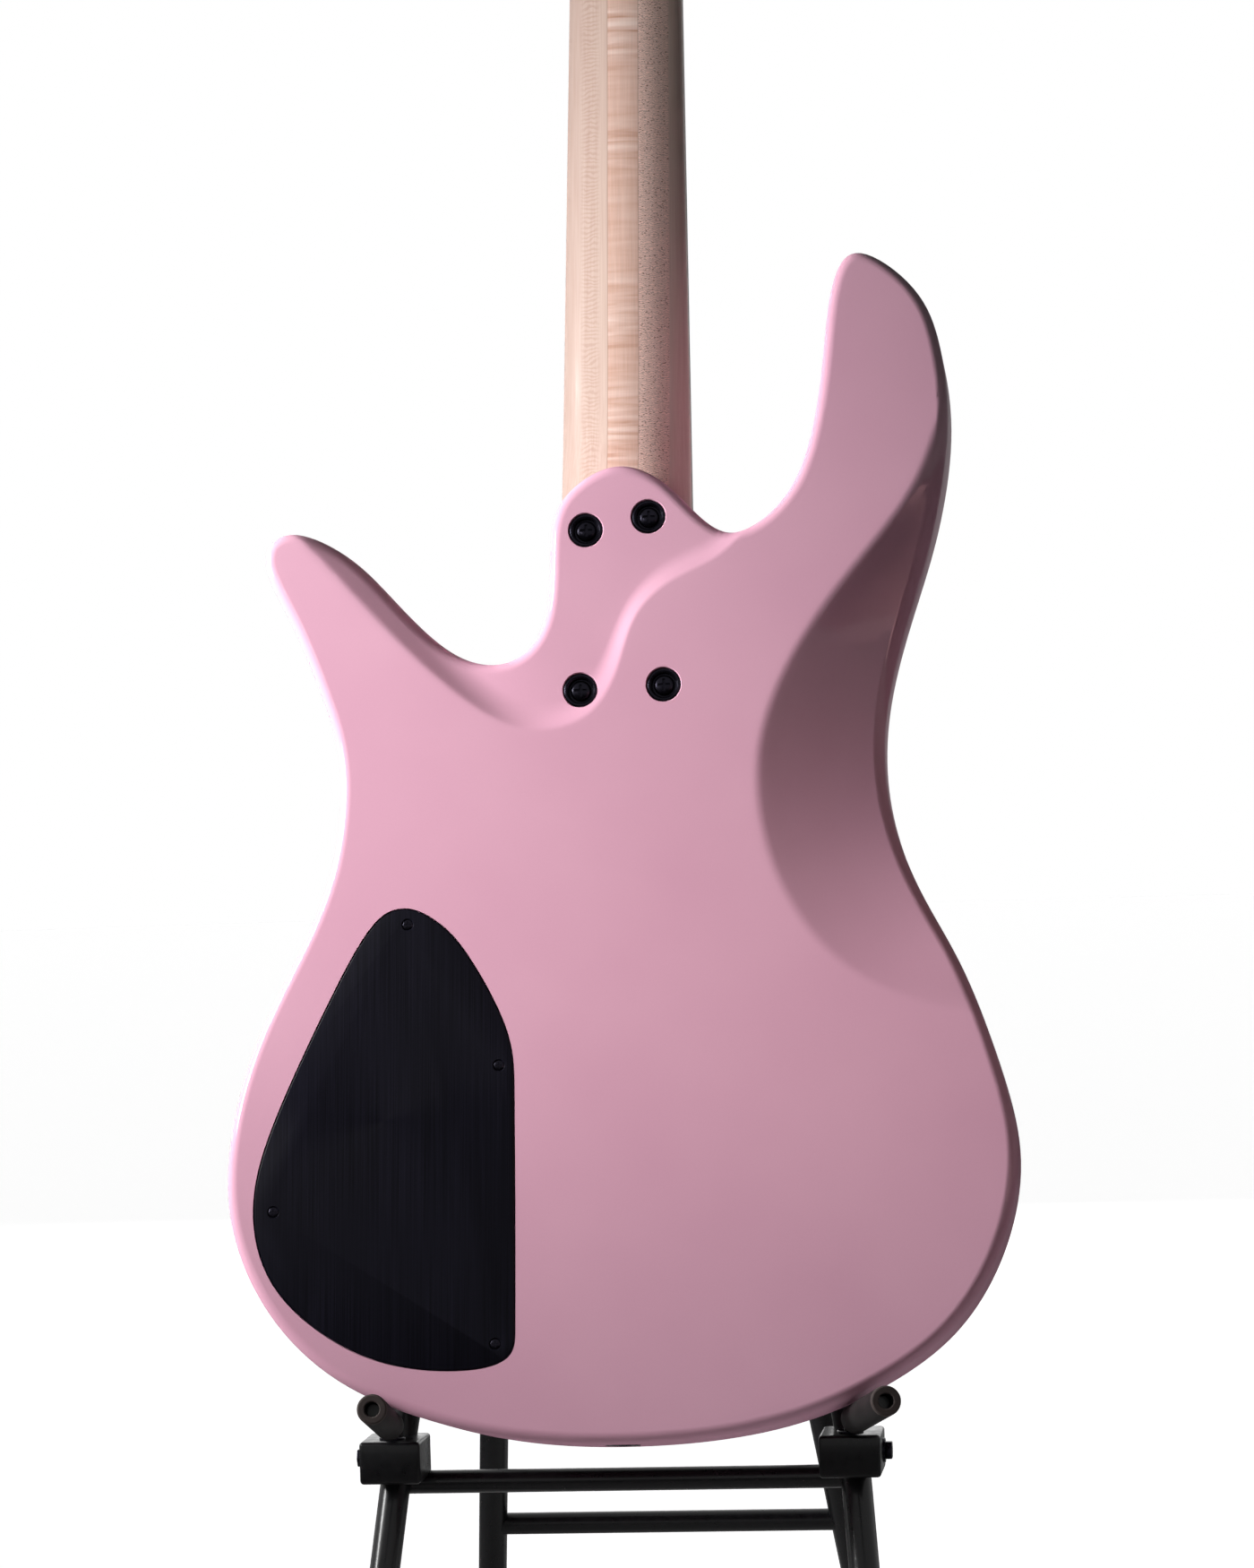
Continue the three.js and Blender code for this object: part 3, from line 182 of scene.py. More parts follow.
def smooth_line(controls, per_span, closed):
    """Points along a cubic spline, closed or held at its ends, through planar or spatial controls."""
    curve = blank_curve(per_span)
    spline = curve.splines.new("NURBS")
    spline.points.add(len(controls) - 1)
    for point, control in zip(spline.points, controls):
        point.co = (*control, *(0,) * (3 - len(control)), 1)
    spline.use_cyclic_u = closed
    spline.use_endpoint_u = not closed
    spline.order_u = 4
    line = drawn(curve)
    points = [vertex.co.copy() for vertex in line.verts]
    line.free()
    return points


def offset_ring(ring, distance):
    """A closed planar ring, anticlockwise, moved inward; a negative distance moves it outward."""
    shifted = []
    for i, point in enumerate(ring):
        along = (ring[(i + 1) % len(ring)] - ring[i - 1]).normalized()
        shifted.append(point + Vector((-along.y, along.x, 0)) * distance)
    return shifted


def slab(ring, low, high):
    """A planar ring extruded from one height to another."""
    bm = bmesh.new()
    floor = bm.faces.new([bm.verts.new((p[0], p[1], low)) for p in ring])
    grown = bmesh.ops.extrude_face_region(bm, geom=[floor])["geom"]
    risen = [item for item in grown if isinstance(item, bmesh.types.BMVert)]
    bmesh.ops.translate(bm, verts=risen, vec=(0, 0, high - low))
    bmesh.ops.recalc_face_normals(bm, faces=bm.faces)
    return bm


def block(size, middle=(0, 0, 0), bevel=0, segments=3):
    bm = bmesh.new()
    bmesh.ops.create_cube(bm, size=1)
    bmesh.ops.scale(bm, vec=size, verts=bm.verts)
    if bevel:
        soften(bm, bm.edges[:], bevel, segments)
    bmesh.ops.translate(bm, verts=bm.verts, vec=middle)
    return bm


def soften(bm, edges, width, segments=3):
    bmesh.ops.bevel(
        bm, geom=edges, offset=width, segments=segments, profile=0.5, affect="EDGES", material=-1,
        clamp_overlap=True,
    )


def sharp_edges(bm, angle=40):
    limit = math.radians(angle)
    return [edge for edge in bm.edges if edge.is_manifold and edge.calc_face_angle(0) > limit]


def turned(profile, steps=32):
    """A profile of (radius, height) pairs spun about Z."""
    bm = bmesh.new()
    points = [bm.verts.new((radius, 0, height)) for radius, height in profile]
    edges = [bm.edges.new(pair) for pair in zip(points, points[1:])]
    bmesh.ops.spin(
        bm, geom=points + edges, cent=(0, 0, 0), axis=(0, 0, 1), dvec=(0, 0, 0),
        angle=2 * math.pi, steps=steps, use_merge=True, use_duplicate=False,
    )
    bmesh.ops.remove_doubles(bm, verts=bm.verts, dist=WELD)
    bmesh.ops.recalc_face_normals(bm, faces=bm.faces)
    return bm


def cylinder(radius, low, high, steps=24):
    return turned([(0, low), (radius, low), (radius, high), (0, high)], steps)


def skin(sections):
    """A closed skin over matching closed sections, flat at both ends."""
    bm = bmesh.new()
    loops = []
    for section in sections:
        points = [bm.verts.new(point) for point in section]
        loops.append([bm.edges.new(pair) for pair in zip(points, points[1:] + points[:1])])
    for first, second in zip(loops, loops[1:]):
        bmesh.ops.bridge_loops(bm, edges=first + second)
    bmesh.ops.edgenet_fill(bm, edges=loops[0])
    bmesh.ops.edgenet_fill(bm, edges=loops[-1])
    bmesh.ops.recalc_face_normals(bm, faces=bm.faces)
    return bm


def tube(path, radius, bend=0, roundness=5):
    """A round bar along a path whose inner corners are bent over a given run."""
    curve = blank_curve(8)
    curve.bevel_depth = radius
    curve.bevel_resolution = roundness
    curve.use_fill_caps = True
    path = [Vector(point) for point in path]
    knots = [(path[0], path[0], path[0].lerp(path[1], STRAIGHT_SHARE))]
    for before, corner, after in zip(path, path[1:], path[2:]):
        enter = corner + (before - corner).normalized() * bend
        leave = corner + (after - corner).normalized() * bend
        knots.append((enter, enter.lerp(before, STRAIGHT_SHARE), enter.lerp(corner, BEND_SHARE)))
        knots.append((leave, leave.lerp(corner, BEND_SHARE), leave.lerp(after, STRAIGHT_SHARE)))
    knots.append((path[-1], path[-1].lerp(path[-2], STRAIGHT_SHARE), path[-1]))
    spline = curve.splines.new("BEZIER")
    spline.bezier_points.add(len(knots) - 1)
    for knot, (place, back, on) in zip(spline.bezier_points, knots):
        knot.co, knot.handle_left, knot.handle_right = place, back, on
    bm = drawn(curve)
    bmesh.ops.remove_doubles(bm, verts=bm.verts, dist=WELD)
    bmesh.ops.recalc_face_normals(bm, faces=bm.faces)
    return bm


def between(bm, start, end):
    """A shape drawn up local Z, set so that Z runs from start towards end."""
    start, end = Vector(start), Vector(end)
    turn = (end - start).to_track_quat("Z", "Y").to_matrix().to_4x4()
    bm.transform(Matrix.Translation(start) @ turn)
    return bm


def moved(bm, x=0, y=0, z=0):
    bmesh.ops.translate(bm, verts=bm.verts, vec=(x, y, z))
    return bm


def facing_front(bm, x, y, z):
    """A shape drawn up local Z, set so that it points out of the guitar's front."""
    bm.transform(Matrix.Translation((x, y, z)) @ Matrix.Rotation(math.pi, 4, "X"))
    return bm


def gathered(*shapes):
    """Several shapes as one; they may stand apart."""
    whole = bmesh.new()
    for shape in shapes:
        mesh = bpy.data.meshes.new("part")
        shape.to_mesh(mesh)
        shape.free()
        whole.from_mesh(mesh)
        bpy.data.meshes.remove(mesh)
    return whole


def loose_object(bm, name):
    mesh = bpy.data.meshes.new(name)
    bm.to_mesh(mesh)
    bm.free()
    made = bpy.data.objects.new(name, mesh)
    bpy.context.scene.collection.objects.link(made)
    return made


def combined(bm, tool, operation="DIFFERENCE"):
    """A shape cut by, or joined to, another."""
    kept, cutter = loose_object(bm, "kept"), loose_object(tool, "cutter")
    modifier = kept.modifiers.new("cut", "BOOLEAN")
    modifier.operation, modifier.solver, modifier.object = operation, "EXACT", cutter
    bpy.context.view_layer.update()
    shaped = kept.evaluated_get(bpy.context.evaluated_depsgraph_get())
    result = bmesh.new()
    result.from_mesh(shaped.to_mesh())
    for done in (kept, cutter):
        mesh = done.data
        bpy.data.objects.remove(done)
        bpy.data.meshes.remove(mesh)
    bmesh.ops.remove_doubles(result, verts=result.verts, dist=WELD)
    return result


def piece(name, bm, finishes, replaces=(), body="guitar", place=GUITAR, smooth=32):
    """Sets a shape in place as a finished object that rides on a body of the frame."""
    finishes = finishes if isinstance(finishes, tuple) else (finishes,)
    bm.transform(place)
    made = loose_object(bm, name)
    for material in finishes:
        made.data.materials.append(material)
    made.data.shade_smooth()
    made.data.set_sharp_from_angle(angle=math.radians(smooth))
    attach(made, body)
    if replaces:
        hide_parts(replaces)


# ---------------------------------------------------------------- finishes
def paint(red, green, blue):
    """A colour given in screen values from 0 to 255."""
    shares = (red / 255, green / 255, blue / 255)
    return (*(c / 12.92 if c <= 0.04045 else ((c + 0.055) / 1.055) ** 2.4 for c in shares), 1)


def finish(name, **values):
    """A material and its shader, with values set on the shader's sockets."""
    made = bpy.data.materials.new(name)
    made.use_nodes = True
    shader = made.node_tree.nodes["Principled BSDF"]
    for socket, value in values.items():
        shader.inputs[socket.replace("_", " ")].default_value = value
    return made, shader


def node(made, kind, inputs=None, **settings):
    """A new node in a material; an input is a value or another node's output."""
    new = made.node_tree.nodes.new("ShaderNode" + kind)
    for setting, value in settings.items():
        setattr(new, setting, value)
    for name, value in (inputs or {}).items():
        if isinstance(value, bpy.types.NodeSocket):
            made.node_tree.links.new(value, new.inputs[name])
        else:
            new.inputs[name].default_value = value
    return new


def feed(made, shader, **sources):
    """Joins outputs to a shader's sockets."""
    for socket, output in sources.items():
        made.node_tree.links.new(output, shader.inputs[socket.replace("_", " ")])


def spot(made):
    """Object coordinates as millimetres in the guitar's frame."""
    where = node(made, "TexCoord").outputs["Object"]
    location, turn, _ = GUITAR.decompose()
    return node(
        made, "Mapping",
        {"Vector": where, "Location": location, "Rotation": turn.to_euler(), "Scale": (MM,) * 3},
        vector_type="TEXTURE",
    ).outputs["Vector"]


def stretched(made, where, scale):
    return node(made, "Mapping", {"Vector": where, "Scale": scale}).outputs["Vector"]


def noise(made, where, scale=1.0, detail=3, roughness=0.5, stretch=None, distortion=0):
    if stretch:
        where = stretched(made, where, stretch)
    return node(
        made, "TexNoise",
        {"Vector": where, "Scale": scale, "Detail": detail, "Roughness": roughness, "Distortion": distortion},
    ).outputs["Fac"]


def waves(made, where, scale, **inputs):
    """Soft bands across the length of the guitar."""
    inputs = {name.replace("_", " "): value for name, value in inputs.items()}
    wave = node(made, "TexWave", {"Vector": where, "Scale": scale, **inputs}, bands_direction="Y")
    return wave.outputs["Fac"]


def ramp(made, value, *stops):
    """A colour ramp of (position, colour) stops; a colour may be a grey level."""
    new = node(made, "ValToRGB", {"Fac": value})
    elements = new.color_ramp.elements
    while len(elements) < len(stops):
        elements.new(0.5)
    for element, (position, colour) in zip(elements, stops):
        element.position = position
        element.color = (colour, colour, colour, 1) if isinstance(colour, (int, float)) else colour
    return new.outputs["Color"]


def blended(made, share, first, second, kind="MIX"):
    """Two colours mixed; a share or a colour is a value or another node's output."""
    return node(
        made, "Mix", {0: share, 6: first, 7: second}, data_type="RGBA", blend_type=kind
    ).outputs[2]


def toned(made, colour, value, *stops, share=1):
    """A colour multiplied by a ramp."""
    return blended(made, share, colour, ramp(made, value, *stops), "MULTIPLY")


def reckoned(made, first, second, operation="MULTIPLY"):
    return node(made, "Math", {0: first, 1: second}, operation=operation).outputs[0]


def level(made, value, low, high, start=0, end=1):
    """A value mapped from one range to another."""
    return node(
        made, "MapRange", {"Value": value, "From Min": start, "From Max": end, "To Min": low, "To Max": high}
    ).outputs["Result"]


def relief(made, shader, height, depth, strength=1):
    """Bump of a depth in metres."""
    bump = node(made, "Bump", {"Height": height, "Distance": depth, "Strength": strength})
    feed(made, shader, Normal=bump.outputs["Normal"])


def pink_lacquer():
    made, shader = finish(
        "pink_lacquer", Roughness=0.5, Specular_IOR_Level=0.0, Coat_Weight=0.08, Coat_IOR=2.4,
        Coat_Roughness=0.05,
    )
    where = spot(made)
    cloud = noise(made, where, 0.012, detail=2)
    colour = ramp(made, cloud, (0.35, paint(215, 164, 184)), (0.65, paint(211, 159, 180)))
    colour = toned(made, colour, noise(made, where, 1.3, detail=1), (0.3, 0.985), (0.7, 1.0))
    feed(made, shader, Base_Color=colour)
    relief(made, shader, noise(made, where, 0.3, detail=2), 0.00002, 0.12)
    return made


def brushed_black():
    made, shader = finish("brushed_black", Metallic=0.0, Specular_IOR_Level=0.04, Anisotropic=0.5)
    where = spot(made)
    streaks = noise(made, where, detail=6, roughness=0.65, stretch=(1.9, 0.012, 1))
    wide = noise(made, where, 0.05, detail=2, stretch=(1, 0.2, 1))
    colour = ramp(made, streaks, (0.3, paint(5, 5, 9)), (0.72, paint(24, 23, 33)))
    colour = toned(made, colour, wide, (0.3, 0.7), (0.7, 1.0))
    feed(made, shader, Base_Color=colour, Roughness=level(made, streaks, 0.28, 0.44))
    relief(made, shader, streaks, 0.00006, 0.3)
    return made


def strip(made, across, low, high, blur=0.12):
    """One inside a strip of the width and nothing outside it."""
    rise = level(made, across, 0, 1, low - blur, low + blur)
    fall = level(made, across, 1, 0, high - blur, high + blur)
    return reckoned(made, rise, fall)


def pale_maple(made, where, across, fibres):
    """The left outer piece: fine fibres, with painted shade that darkens it towards the left, and faint
    scallops beside the centre.
    """
    pale = ramp(made, fibres, (0.25, paint(200, 172, 159)), (0.75, paint(213, 190, 178)))
    # painted shade: the piece is darkened towards its left edge, where the key lamp lights the side of the
    # neck most brightly
    pale = toned(made, pale, level(made, across, 0, 1, -26, -8), (0, paint(200, 198, 199)), (1, 1.0))
    scallops = waves(made, where, 0.16, Distortion=12, Detail=3, Detail_Scale=0.7)
    scalloped = toned(made, pale, scallops, (0.2, paint(226, 214, 208)), (0.6, 1.0))
    return blended(made, reckoned(made, strip(made, across, -18, -11, 1.5), 0.45), pale, scalloped)


def flamed_maple(made, where, fibres):
    """The centre piece: bars of flame in groups, with calm wood between them, under fine threads."""
    bars = noise(made, where, roughness=0.45, distortion=0.35, stretch=(0.03, 0.3, 0.03))
    flame = ramp(
        made, bars, (0.33, paint(196, 150, 128)), (0.44, paint(214, 175, 158)),
        (0.56, paint(225, 192, 178)), (0.68, paint(236, 211, 200)),
    )
    groups = noise(made, where, detail=1, stretch=(0.01, 0.022, 0.01))
    calm = ramp(made, fibres, (0.25, paint(214, 174, 156)), (0.75, paint(229, 195, 180)))
    centre = blended(made, level(made, groups, 0.25, 1, 0.4, 0.55), calm, flame)
    threads = noise(made, where, detail=2, stretch=(2.6, 0.05, 1))
    return toned(made, centre, threads, (0.3, 0.84), (0.7, 1.0), share=0.6)


def flecked_maple(made, where, fibres):
    """The right outer piece: warm wood with scattered dark dashes and curved bands."""
    dashes = node(
        made, "TexVoronoi",
        {"Vector": stretched(made, where, (0.62, 1.25, 0.62)), "Scale": 1, "Randomness": 0.95},
    ).outputs["Distance"]
    scatter = noise(made, where, 0.5, detail=1)
    marks = ramp(made, dashes, (0.1, paint(128, 92, 80)), (0.36, 1.0))
    flecked = blended(made, level(made, scatter, 0.1, 1, 0.35, 0.55), (1, 1, 1, 1), marks)
    arcs = waves(made, where, 0.42, Distortion=14, Detail=3, Detail_Scale=1.1)
    flecked = toned(made, flecked, arcs, (0.2, 0.6), (0.6, 1.0), share=0.9)
    warm = ramp(made, fibres, (0.25, paint(238, 200, 186)), (0.75, paint(248, 216, 204)))
    return blended(made, 1, warm, flecked, "MULTIPLY")


def maple():
    """Two pale outer pieces, the right one flecked, either side of a flamed centre."""
    made, shader = finish(
        "three_piece_maple", Roughness=0.5, Specular_IOR_Level=0.0, Coat_Weight=0.15, Coat_IOR=1.7,
        Coat_Roughness=0.2,
    )
    where = spot(made)
    across = node(made, "SeparateXYZ", {"Vector": where}).outputs["X"]
    fibres = noise(made, where, detail=4, roughness=0.6, stretch=(1.1, 0.025, 1.1))
    colour = pale_maple(made, where, across, fibres)
    colour = blended(made, strip(made, across, 7, 20, 0.4), colour, flecked_maple(made, where, fibres))
    colour = blended(made, strip(made, across, -6.5, 6.9), colour, flamed_maple(made, where, fibres))
    left, right = (strip(made, across, at, at + 0.4, 0.1) for at in (-6.75, 6.75))
    seams = reckoned(made, reckoned(made, left, right, "MAXIMUM"), 0.4)
    feed(made, shader, Base_Color=blended(made, seams, colour, paint(150, 108, 90)))
    relief(made, shader, fibres, 0.00003, 0.12)
    return made


def dark_wood():
    made, shader = finish("dark_fingerboard_wood", Roughness=0.5)
    grain = noise(made, spot(made), detail=5, roughness=0.65, stretch=(1.4, 0.03, 1.4))
    colour = ramp(made, grain, (0.3, paint(26, 19, 17)), (0.75, paint(58, 43, 37)))
    feed(made, shader, Base_Color=colour, Roughness=level(made, grain, 0.4, 0.6))
    relief(made, shader, grain, 0.00008, 0.4)
    return made


def metal(name, colour, worn, roughness, metallic=1.0, coat=0.0, gloss=0.5):
    """A plated or polished metal with faint marks of handling."""
    made, shader = finish(
        name, Metallic=metallic, Specular_IOR_Level=gloss, Coat_Weight=coat, Coat_Roughness=0.08
    )
    where = spot(made)
    smudge = noise(made, where, 0.25, detail=5, roughness=0.6)
    rough = level(made, smudge, roughness, roughness + 0.14, 0.3, 0.7)
    feed(made, shader, Base_Color=ramp(made, smudge, (0.3, colour), (0.8, worn)), Roughness=rough)
    relief(made, shader, noise(made, where, 3.0, detail=2), 0.00001, 0.2)
    return made


def plastic(name, colour, second, roughness, grain=1.2, depth=0.00004, gloss=0.5):
    made, shader = finish(name, Specular_IOR_Level=gloss)
    where = spot(made)
    texture = noise(made, where, grain)
    tone = ramp(made, noise(made, where, 0.06), (0.35, colour), (0.7, second))
    feed(made, shader, Base_Color=tone, Roughness=level(made, texture, roughness, roughness + 0.12))
    relief(made, shader, texture, depth, 0.4)
    return made


def wound_string():
    made, shader = finish("wound_string_steel", Metallic=1, Roughness=0.28)
    winding = waves(made, spot(made), 0.95, Distortion=0.1)
    colour = ramp(made, winding, (0.1, paint(96, 95, 92)), (0.7, paint(196, 194, 188)))
    feed(made, shader, Base_Color=colour)
    relief(made, shader, winding, 0.0002, 0.6)
    return made


LACQUER = pink_lacquer()
BRUSHED = brushed_black()
MAPLE = maple()
EBONY = dark_wood()
BLACK_NICKEL = metal("black_nickel", paint(17, 16, 22), paint(27, 25, 34), 0.2, metallic=0.85, gloss=0.2)
STEEL = metal("fret_steel", paint(178, 179, 182), paint(205, 205, 206), 0.2)
ENAMEL = metal(
    "gloss_black_enamel", paint(8, 8, 10), paint(15, 15, 17), 0.25, metallic=0.0, coat=0.1, gloss=0.15
)
RUBBER = plastic(
    "matte_rubber", paint(62, 55, 54), paint(74, 66, 64), 0.7, grain=1.6, depth=0.0001, gloss=0.15
)
PADDING_SKIN = plastic(
    "padding_skin", paint(22, 20, 20), paint(30, 27, 27), 0.6, grain=1.6, depth=0.0001, gloss=0.1
)
BLACK_PLASTIC = plastic("satin_black_plastic", paint(26, 26, 28), paint(34, 34, 36), 0.38)
BONE = plastic("polished_bone", paint(228, 219, 198), paint(212, 200, 176), 0.32, 0.7, 0.00002)
GREEN = plastic("circuit_board_green", paint(24, 78, 48), paint(33, 96, 60), 0.4, grain=0.5)
PEARL = plastic("pearl_dot", paint(216, 218, 214), paint(180, 190, 188), 0.25, 0.3, 0.00001)
WINDING = wound_string()


# ---------------------------------------------------------------- body
def ruled_lines(rows, offsets):
    """Smooth lines at given distances from a crest, along the way to each row's far point, in the plane."""
    lines = []
    for offset in offsets:
        shifted = []
        for x, y, far_x, far_y, width, *_ in rows:
            crest, way = Vector((x, y)), Vector((far_x - x, far_y - y)).normalized()
            shifted.append(crest + way * (offset(width) if callable(offset) else offset))
        lines.append(smooth_line([(p.x, p.y) for p in shifted], 6, closed=False))
    return lines


def along_rows(values):
    """A smooth function of the share of the way along a list of rows."""
    eased = smooth_line([(value, 0, 0) for value in values], 6, closed=False)
    return lambda share: eased[round(share * (len(eased) - 1))].x


def sheet(lines, heights):
    """A surface across matching lines, each at its own heights."""
    bm = bmesh.new()
    rows = []
    for line, height in zip(lines, heights):
        rows.append([bm.verts.new((p.x, p.y, height(i / (len(line) - 1)))) for i, p in enumerate(line)])
    for first, second in zip(rows, rows[1:]):
        for i in range(len(first) - 1):
            bm.faces.new((first[i], first[i + 1], second[i + 1], second[i]))
    return bm


def step_fall(share, steep_from, steep_to):
    """Share of a slope's drop at a share of its width: steepening, steady and then easing off."""
    share = min(max(share, 0), 1)
    fallen = share**2 / (2 * steep_from) if share < steep_from else share - steep_from / 2
    if share > steep_to:
        fallen -= (share - steep_to) ** 2 / (2 * (1 - steep_to))
    return fallen / ((1 + steep_to - steep_from) / 2)


def carving():
    """The carved back as lines in the plane and a function that gives the height anywhere."""
    shares = [-0.1, 0, 0.05, 0.1, 0.15, 0.2, 0.28, 0.36, 0.45, 0.55, 0.65, 0.75, 0.85, 0.93, 1]
    beyond = [32, 45, 65, 95]  # further lines, on the floor of the slope
    heel_lines = ruled_lines(HEEL_STEP, [lambda width, s=s: s * width for s in shares] + beyond)
    drops = []
    for share in shares + [1] * len(beyond):
        drops.append(along_rows([
            -drop * step_fall(share, STEP_EASE / width, min(steep_to, 0.999))
            for *_, width, drop, steep_to in HEEL_STEP
        ]))
    heel = BVHTree.FromBMesh(sheet(heel_lines, drops))

    soft = BELLY_SOFTNESS
    runs = [-1.8 * soft, -soft - 1, -soft, -0.6 * soft, -0.2 * soft, 0.2 * soft, 0.6 * soft, soft, soft + 3]
    runs += [soft + 10, 30, 45, 60, 80, 110]
    slope = along_rows([
        depth / math.hypot(far_x - x, far_y - y) for x, y, far_x, far_y, depth in BELLY_CUT
    ])

    def belly_drop(run):
        fall = 0 if run < -soft else run if run > soft else (run + soft) ** 2 / (4 * soft)
        return lambda share: -fall * slope(share)

    belly_lines = ruled_lines(BELLY_CUT, runs)
    belly = BVHTree.FromBMesh(sheet(belly_lines, [belly_drop(run) for run in runs]))

    def height(x, y):
        hits = [tree.ray_cast(Vector((x, y, 50)), Vector((0, 0, -1)))[0] for tree in (heel, belly)]
        return min([hit.z for hit in hits if hit] + [0])

    return heel_lines[:-3] + belly_lines[:-1], height


def closed_rings(rings):
    """The points of closed rings and the pairs that join them, for a triangulation."""
    points, pairs = [], []
    for ring in rings:
        start = len(points)
        points += ring
        pairs += [(start + i, start + (i + 1) % len(ring)) for i in range(len(ring))]
    return points, pairs


def fill_outline(bm, count, points, pairs, height):
    """Adds faces inside an outline, which is the first points, through the rest of them."""
    flat, _, faces, _, _, origins = delaunay_2d_cdt(
        [point.xy for point in points], pairs, [list(range(count))], 0, WELD
    )
    made = [bm.verts.new((x, y, height(x, y))) for x, y in flat]
    for corners, origin in zip(faces, origins):
        if origin:
            bm.faces.new([made[i] for i in corners])
    bmesh.ops.delete(bm, geom=[vertex for vertex in made if not vertex.link_faces], context="VERTS")


def edge_rise(inset):
    """How far a rounded edge has risen at a distance in from the outline."""
    return math.sqrt(max(EDGE_ROUND**2 - max(EDGE_ROUND - inset, 0) ** 2, 0))


def lacquered_body():
    """The body's closed shell: its carved back with a rounded edge, its side and its flat front."""
    outline = smooth_line(BODY_OUTLINE, 8, closed=True)
    lines, height = carving()
    round_steps, spacing = 6, 7
    quarter = [math.pi / 2 * step / round_steps for step in range(round_steps + 1)]
    insets = [EDGE_ROUND * (1 - math.cos(angle)) for angle in quarter] + [EDGE_ROUND + 0.5]

    points, pairs = closed_rings([offset_ring(outline, inset) for inset in insets])
    for line in lines:
        start = len(points)
        points += line
        pairs += [(start + i, start + i + 1) for i in range(len(line) - 1)]
    low_x, high_x, high_y = -170, 170, 515
    points += [
        Vector((low_x + spacing * i, spacing * j, 0))
        for i in range(int((high_x - low_x) / spacing))
        for j in range(int(high_y / spacing))
    ]
    bm = bmesh.new()
    fill_outline(bm, len(outline), points, pairs, lambda x, y: 0)

    rim = bmesh.new()
    loop = [rim.verts.new(point) for point in outline]
    wall = [rim.verts.new(point + Vector((0, 0, 10))) for point in outline]
    for i in range(len(loop)):
        rim.faces.new((loop[i - 1], loop[i], wall[i], wall[i - 1]))
    edge_of = BVHTree.FromBMesh(rim)
    for vertex in bm.verts:
        inside = 0 if vertex.is_boundary else edge_of.find_nearest(vertex.co + Vector((0, 0, 5)))[3]
        vertex.co.z = height(vertex.co.x, vertex.co.y) - (EDGE_ROUND - edge_rise(inside))

    boundary = [edge for edge in bm.edges if edge.is_boundary]
    grown = bmesh.ops.extrude_edge_only(bm, edges=boundary)["geom"]
    lower = [item for item in grown if isinstance(item, bmesh.types.BMVert)]
    for vertex in lower:
        vertex.co.z = FACE + EDGE_ROUND
    join_front(bm, in_order(lower), insets)
    bmesh.ops.recalc_face_normals(bm, faces=bm.faces)
    return bm


def in_order(ring):
    """The vertices of an open-edged ring in the order they follow one another."""
    ordered, previous, vertex = [], None, ring[0]
    while not ordered or vertex is not ring[0]:
        ordered.append(vertex)
        nearby = [edge.other_vert(vertex) for edge in vertex.link_edges if edge.is_boundary]
        previous, vertex = vertex, next(v for v in nearby if v is not previous)
    area = sum(a.co.x * b.co.y - b.co.x * a.co.y for a, b in zip(ordered, ordered[1:] + ordered[:1]))
    return ordered if area > 0 else ordered[::-1]


def join_front(bm, ring, insets):
    """A flat front with a rounded edge, sewn to a ring of vertices."""
    outline = [vertex.co.copy() for vertex in ring]
    rings = [offset_ring(outline, inset) for inset in insets]
    height_at = {}
    for inset, line in zip(insets, rings):
        for point in line:
            height_at[(round(point.x, 2), round(point.y, 2))] = FACE + EDGE_ROUND - edge_rise(inset)

    points, pairs = closed_rings(rings)
    fill_outline(
        bm, len(outline), points, pairs, lambda x, y: height_at.get((round(x, 2), round(y, 2)), FACE)
    )
    bmesh.ops.remove_doubles(bm, verts=bm.verts, dist=WELD)


def neck_half(y):
    """Half the neck's width at a height up the guitar."""
    return (NUT_WIDTH + (NUT_Y - y) * (HEEL_WIDTH - NUT_WIDTH) / (NUT_Y - HEEL_Y)) / 2


def body_with_pockets():
    """The body with its neck and pickup pockets, its hollow under the rear cover and its holes."""
    cover = smooth_line(COVER_OUTLINE, 6, closed=True)
    middle, gap = FACE / 2, 0.3
    low, (horn_x, horn_y) = HEEL_Y - gap, STRAP_HORN
    heel, shelf, end = (neck_half(y) + gap for y in (HEEL_Y, 352, 440))
    pocket = [(heel, low), (end, 440), (-45, 440), (-45, 352), (-shelf, 352), (-heel, low)]
    tools = [slab(offset_ring(cover, -0.4), -2.8, 8), slab(pocket, FACE - 8, -22)]
    recess = [(0, -6.3), (7.4, -6.3), (7.4, -0.6), (7.75, 0.05), (7.75, 8), (0, 8)]
    tools += [moved(turned(recess, 40), *ferrule) for ferrule in FERRULES]
    for y in PICKUPS.values():
        tools.append(block(PICKUP_POCKET, (0, y, FACE + 4.15), 3))
    for x, start, stop in ((0, -10, 12), (horn_x, horn_y - 12, horn_y + 10)):
        tools.append(between(cylinder(7.8, 0, 22, 32), (x, start, middle), (x, stop, middle)))
    bm = combined(lacquered_body(), gathered(*tools))
    bm = combined(bm, slab(offset_ring(cover, 7), FACE + 6, -1))
    jack_hole = between(cylinder(8.3, 0, 36, 32), (-172, JACK_Y, middle), (-136, JACK_Y, middle))
    shafts = [moved(cylinder(4, 0, 12), x, y, FACE - 5) for x, y in [*KNOBS, TOGGLE]]
    return combined(bm, gathered(jack_hole, *shafts))


piece("lacquered_body", body_with_pockets(), LACQUER, "body", smooth=28)


